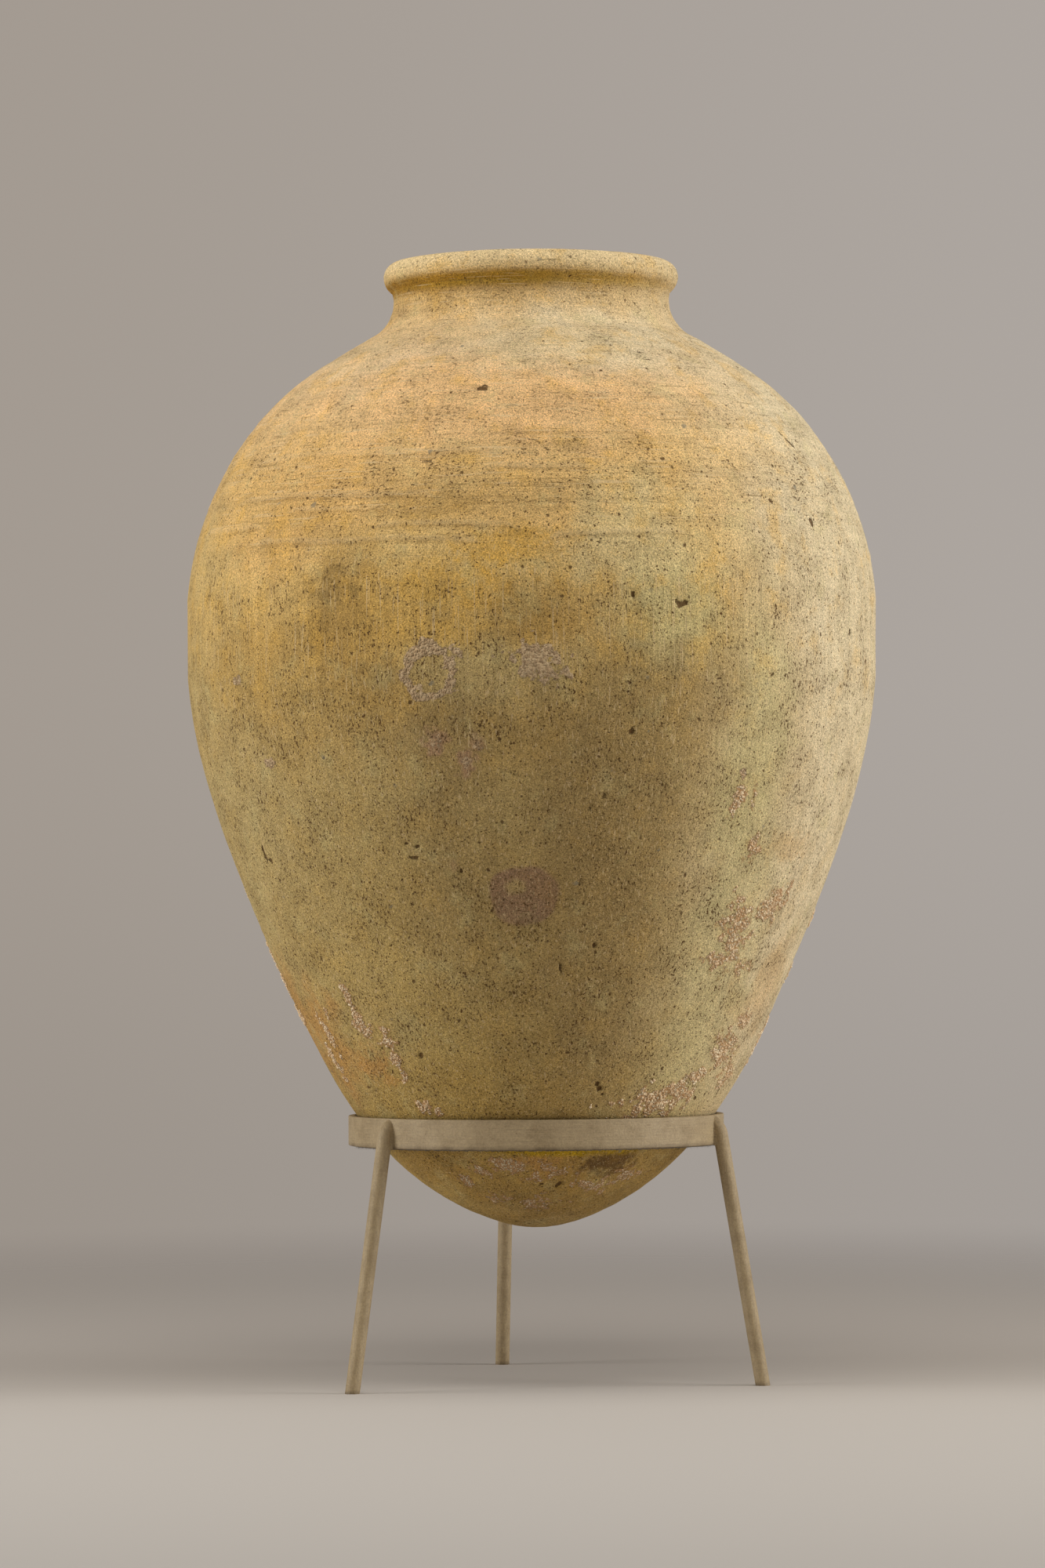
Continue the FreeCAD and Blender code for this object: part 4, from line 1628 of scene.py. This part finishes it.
def crusted_wall():
    """The part of the worked wall on which thick crust may lie."""
    low, high = CRUST_HEIGHTS
    salty = crust * (height_mm > low) * (height_mm < high)
    faces = net_faces(*outside_net.shape[:2])
    faces = faces[salty.ravel()[faces].max(axis=1) > LEAST_CRUST]
    mesh = mesh_from("crusted_wall", outside_worked.reshape(-1, 3), [faces])
    remember(mesh, "crust", salty)
    return mesh


def salt_grains():
    mesh = run_tree(crusted_wall(), grain_tree(), {"Finish": grain_finish()}, "salt_grains")
    piece = link("salt_grains", mesh)
    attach(piece, "jar")
    print("salt grains:", len(mesh.polygons) // 20)


salt_grains()

# %% [markdown]
# ## Weld beads
# Each leg is welded to the hoop with one bead on each side, hollow where the melt pulled
# back and a little wavy where the welder's hand paused. A bead is swept as a row of
# slices: each starts on the hoop, ends on the rod, whose surface a ray finds, and dips
# between. On the outer legs one of the two beads is thin.

# %% A slice of a bead
BEAD_COLUMNS = 12  # points across a bead
BURIED = 0.4 * MM  # how deep a bead's edges sink into the steel
ROD_RADIUS = 5.25 * MM
ROOT_ASIDE = 2.5 * MM  # the bead's root lies between hoop and rod, this far from the middle
WIDE_BEAD = 3 * MM  # a wider bead climbs further up the rod's side
RAY_START = 40 * MM  # rays are shot inwards from this far outside the hoop


def bead_section(side, width, height, hoop_r, rod):
    """One slice through a bead, in the leg's own frame: out is x, sideways is y."""
    aside = 4.2 * MM if width > WIDE_BEAD else 5.0 * MM
    ray_start = Vector((hoop_r + RAY_START, side * aside, height))
    hit = rod.ray_cast(ray_start, Vector((-1, 0, 0)))[0]
    top = hit.x - BURIED if hit is not None else hoop_r
    foot = ROD_RADIUS + width
    start = np.array([math.sqrt(hoop_r**2 - foot**2) - BURIED, foot])
    end = np.array([max(top, hoop_r), aside])
    bend = np.array([hoop_r + 0.5 * MM, ROD_RADIUS + 0.3 * width])
    t = np.linspace(0, 1, BEAD_COLUMNS)[:, None]
    arc = (1 - t) ** 2 * start + 2 * t * (1 - t) * bend + t**2 * end
    root = np.array([[hoop_r - BURIED, ROOT_ASIDE]])
    loop = np.vstack([arc, root])
    loop[:, 1] *= side
    return loop, root[0] * (1, side)


# %% Weld beads
BEAD_ROWS = 48
BEAD_OVERRUN = 2.2 * MM  # how far a bead runs past its measured ends
BEADS = {  # how wide each leg's bead is on its two sides, in millimetres
    "weld_left": (6.5, 0.8),
    "weld_right": (0.8, 6.5),
    "weld_back": (4.0, 4.0),
}


def bead_mesh(name, widths):
    low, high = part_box(name)
    azimuth = math.atan2(low[1] + high[1], low[0] + high[0])
    turn, back = (Matrix.Rotation(angle, 4, "Z") for angle in (-azimuth, azimuth))
    leg = frame["nodes"][name.replace("weld", "leg")].data
    places = [turn @ vertex.co for vertex in leg.vertices]
    rod = BVHTree.FromPolygons(places, [tuple(face.vertices) for face in leg.polygons])
    hoop_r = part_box("hoop")[1][0]
    middle, half = (low[2] + high[2]) / 2, (high[2] - low[2]) / 2 + BEAD_OVERRUN
    dice = np.random.default_rng(len(name))
    points, faces = [], []
    count = BEAD_COLUMNS + 1
    for side, width in zip((-1, 1), widths):
        first = len(points)
        for along in np.linspace(-1, 1, BEAD_ROWS):
            height = middle + along * half
            loop, root = bead_section(side, width * MM, height, hoop_r, rod)
            swell = (1 - along**6) ** 0.5 * (1 + 0.05 * dice.normal())
            loop = root + (loop - root) * max(swell, 0.05)
            points += [back @ Vector((x, y, height)) for x, y in loop]
        bottom = first + np.arange(count)
        ends = np.stack([bottom[::-1], bottom + (BEAD_ROWS - 1) * count])
        parts = [net_faces(BEAD_ROWS, count, first), ends]
        faces += parts if side > 0 else [part[:, ::-1] for part in parts]
    mesh = mesh_from(name + "_bead", np.array(points), faces)
    mesh.shade_smooth()
    return mesh


bead_pieces = []
for name, widths in BEADS.items():
    bead = link(name + "_bead", bead_mesh(name, widths))
    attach(bead, "stand")
    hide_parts(name)
    bead_pieces.append(bead)
print("weld beads:", ", ".join(bead.name for bead in bead_pieces))

# %% [markdown]
# ## The painted stand
# The hoop and its rods were painted with a brush: the coat is beige, uneven and dull, with
# drag marks, scuffs and dark flecks, and a patchy painted shade along the lower edge. The
# measured solids have the right shape, so they stay and only get this coat: its drag marks
# run level on the hoop and upright on the rods.

# %% Stand paint
PAINT = linear(163, 143, 109)
PAINT_DARK = linear(126, 106, 74)
EDGE_SHADE = linear(74, 56, 34)  # painted shade along the lower edge
EDGE_SHADE_HEIGHT = 4  # mm above the lower edge
STEEL_NODES = [node for node, slot in SLOT_OF.items() if slot == "painted_steel"]


def stand_paint(name, drag_sizes, low_edge):
    material, place = new_finish(name, PAINT)
    drag = drawn_noise(place, drag_sizes, 4.0, 0.65)
    cloud = noise(place, 16.0, 4.0, 0.62)
    dust = contrast(noise(place, 1.3, 3.0, 0.7), 0.2)
    fleck = spots(uneven_place(place, 2.0, 2.0), 5.0, 0.06, 0.18, 0.35)
    scuff = ramp(drawn_noise(place, (9, 9, 2.5), 4.0, 0.7), 0.6, 0.7)
    # painted shade: darker in patches up to a few millimetres above the lower edge, under the hoop
    # and at the rods' feet
    edge_shade = cloud * ramp(place.part(2), low_edge + EDGE_SHADE_HEIGHT, low_edge)
    colour = mixed(ramp(cloud, 0.42, 0.72, 0.0, 0.45), PAINT, PAINT_DARK)
    colour = shaded(shaded(colour, contrast(drag, 0.22), 0.07), dust, 0.13)
    for share, tone in ((scuff * 0.45, PAINT_DARK), (fleck * 0.8, PAINT_DARK), (edge_shade, EDGE_SHADE)):
        colour = mixed(share, colour, tone)
    height = dust.scaled(0.08, cloud.scaled(0.5, drag * 0.3))
    return close_finish(material, colour, cloud.scaled(0.2, 0.46), 0.4, height, MM)


hoop_paint = stand_paint("hoop_paint", drag_sizes=(26, 26, 1.1), low_edge=172)
rod_paint = stand_paint("rod_paint", drag_sizes=(1.3, 1.3, 26), low_edge=0)
for node in STEEL_NODES:
    coat = rod_paint if node.startswith("leg") else hoop_paint
    frame["nodes"][node].data.materials.clear()
    frame["nodes"][node].data.materials.append(coat)
for bead in bead_pieces:
    bead.data.materials.append(rod_paint)
print("painted:", ", ".join(STEEL_NODES))

# %% [markdown]
# ## The felt strip
# A strip of wool felt is glued inside the hoop, so that steel never touches clay. It is
# laid, not stretched, and the jar has pressed its top edge thin. Its section follows the
# hoop on one side and the jar on the other, and its long edges are a little wavy.

# %% Shape of the felt
FELT_COLUMNS = 900
FELT_ROWS = 20
FELT_WAVES = 14  # waves added up along its edges
FELT_THICKNESS = (0.5 * MM, 2.3 * MM)  # pressed and loose
FELT_CLEARANCE = 0.12 * MM  # the strip stays this far off steel and clay
FELT_EDGE_WAVE = 0.35 * MM
FELT_GAP = math.radians(0.7)  # opening where the strip's ends meet
FELT_SEAM = math.radians(113)  # where that is, from the x axis


def felt_section():
    """The strip's section as a closed loop of (radius, height), first up the hoop's side."""
    low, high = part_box("felt_lining")
    outer = high[0] - FELT_CLEARANCE
    heights = np.linspace(low[2], high[2], FELT_ROWS)
    jar_radius = np.interp(heights, outside_rows[:crest_row, 1], outside_rows[:crest_row, 0])
    inner = np.maximum(outer - FELT_THICKNESS[1], jar_radius + FELT_CLEARANCE)
    inner = np.minimum(inner, outer - FELT_THICKNESS[0])
    up = [(outer, height) for height in heights]
    down = [(radius, height) for radius, height in zip(inner[::-1], heights[::-1])]
    return np.array(up + down)


def felt_mesh():
    section = felt_section()
    turn = math.tau - FELT_GAP
    azimuth = FELT_SEAM + FELT_GAP / 2 + turn * np.linspace(0, 1, FELT_COLUMNS)
    dice = np.random.default_rng(77)
    wave = sum(
        dice.uniform(0.3, 1) * np.sin(azimuth * dice.integers(20, 260) + dice.uniform(0, math.tau))
        for _ in range(FELT_WAVES)
    )
    wave = 1 + wave[:, None] / np.abs(wave).max()
    off_middle = section[:, 1] - section[:, 1].mean()
    edge = np.abs(off_middle) / np.ptp(section[:, 1]) * 2
    height = section[:, 1] - np.sign(off_middle) * edge**12 * FELT_EDGE_WAVE * wave
    radius, azimuth = section[:, 0], azimuth[:, None]
    places = np.stack([radius * np.cos(azimuth), radius * np.sin(azimuth), height], axis=-1)
    count = len(section)
    faces = np.roll(net_faces(FELT_COLUMNS, count)[:, ::-1], 1, axis=1)
    rungs = np.arange(count // 2 - 1)
    cap = np.stack([rungs, rungs + 1, count - 2 - rungs, count - 1 - rungs], axis=-1)
    last = cap[:, ::-1] + (FELT_COLUMNS - 1) * count
    return mesh_from("felt_strip", places.reshape(-1, 3), [faces, cap, last])


# %% Felt strip
FELT = linear(92, 80, 62)
FELT_PALE = linear(150, 134, 108)


def felt_finish():
    material, place = new_finish("felt", FELT)
    fibre = contrast(noise(place, 0.9, 4.0, 0.7), 0.2)
    colour = mixed(fibre * 0.45, FELT, FELT_PALE)
    colour = shaded(colour, noise(place, 14.0, 3.0, 0.6), 0.25)
    return close_finish(material, colour, 1.0, 0.1, fibre, 0.5 * MM, sheen=0.4)


felt_coat = felt_finish()
strip = link("felt_strip", felt_mesh())
strip.data.shade_smooth()
strip.data.materials.append(felt_coat)

# %% [markdown]
# ## Loose fibres
# Cut felt frays: fine fibres stand out along both long edges. Geometry Nodes scatter them
# on the faces near the edges as thin cones, each leaning and turned at random. The strip
# and its fibres are one sheet that is laid on the hoop.

# %% Felt fibres
FIBRE_EDGES = (172.0 * MM, 192.6 * MM)  # fibres stand below the first height and above the second
FIBRE_LEAN = 1.1  # how far a fibre leans each way at most, in radians


def fibre_tree():
    inputs = {
        "Felt": "Geometry",
        "Fibres per area": 900_000.0,
        "Longest fibre": 2.6 * MM,
        "Fibre radius": 0.07 * MM,
        "Lower edge": FIBRE_EDGES[0],
        "Upper edge": FIBRE_EDGES[1],
        "Seed": 9,
        "Finish": "Material",
    }
    tree, flows = new_tree("scatter_fibres", inputs, "Fibres")
    felt, density, longest, radius, lower, upper, seed, finish = flows
    height = add_node(tree, "GeometryNodeInputPosition").part(2)
    at_edge = height.reckon("LESS_THAN", lower) + height.reckon("GREATER_THAN", upper)
    points = scattered(felt, at_edge, density, seed)
    feeds = {"Vertices": 3, "Radius Top": 0.0, "Radius Bottom": radius, "Depth": longest}
    fibre = add_node(tree, "GeometryNodeMeshCone", feeds, fill_type="NONE")
    least, most = (-FIBRE_LEAN, -FIBRE_LEAN, 0), (FIBRE_LEAN, FIBRE_LEAN, FULL_TURN)
    feeds = {0: points.beside("Rotation"), 1: random_number(tree, least, most, 5)}
    turn = add_node(tree, "FunctionNodeRotateRotation", feeds, rotation_space="LOCAL")
    return strewn(points, fibre, turn, random_number(tree, 0.3, 1.0, 6), finish)


fibres_mesh = run_tree(strip.data.copy(), fibre_tree(), {"Finish": felt_coat}, "felt_fibres")
fibres = link("felt_fibres", fibres_mesh)
for piece in (strip, fibres):
    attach(piece, "stand")
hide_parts("felt_lining")
print("felt fibres:", len(fibres_mesh.polygons) // 3)
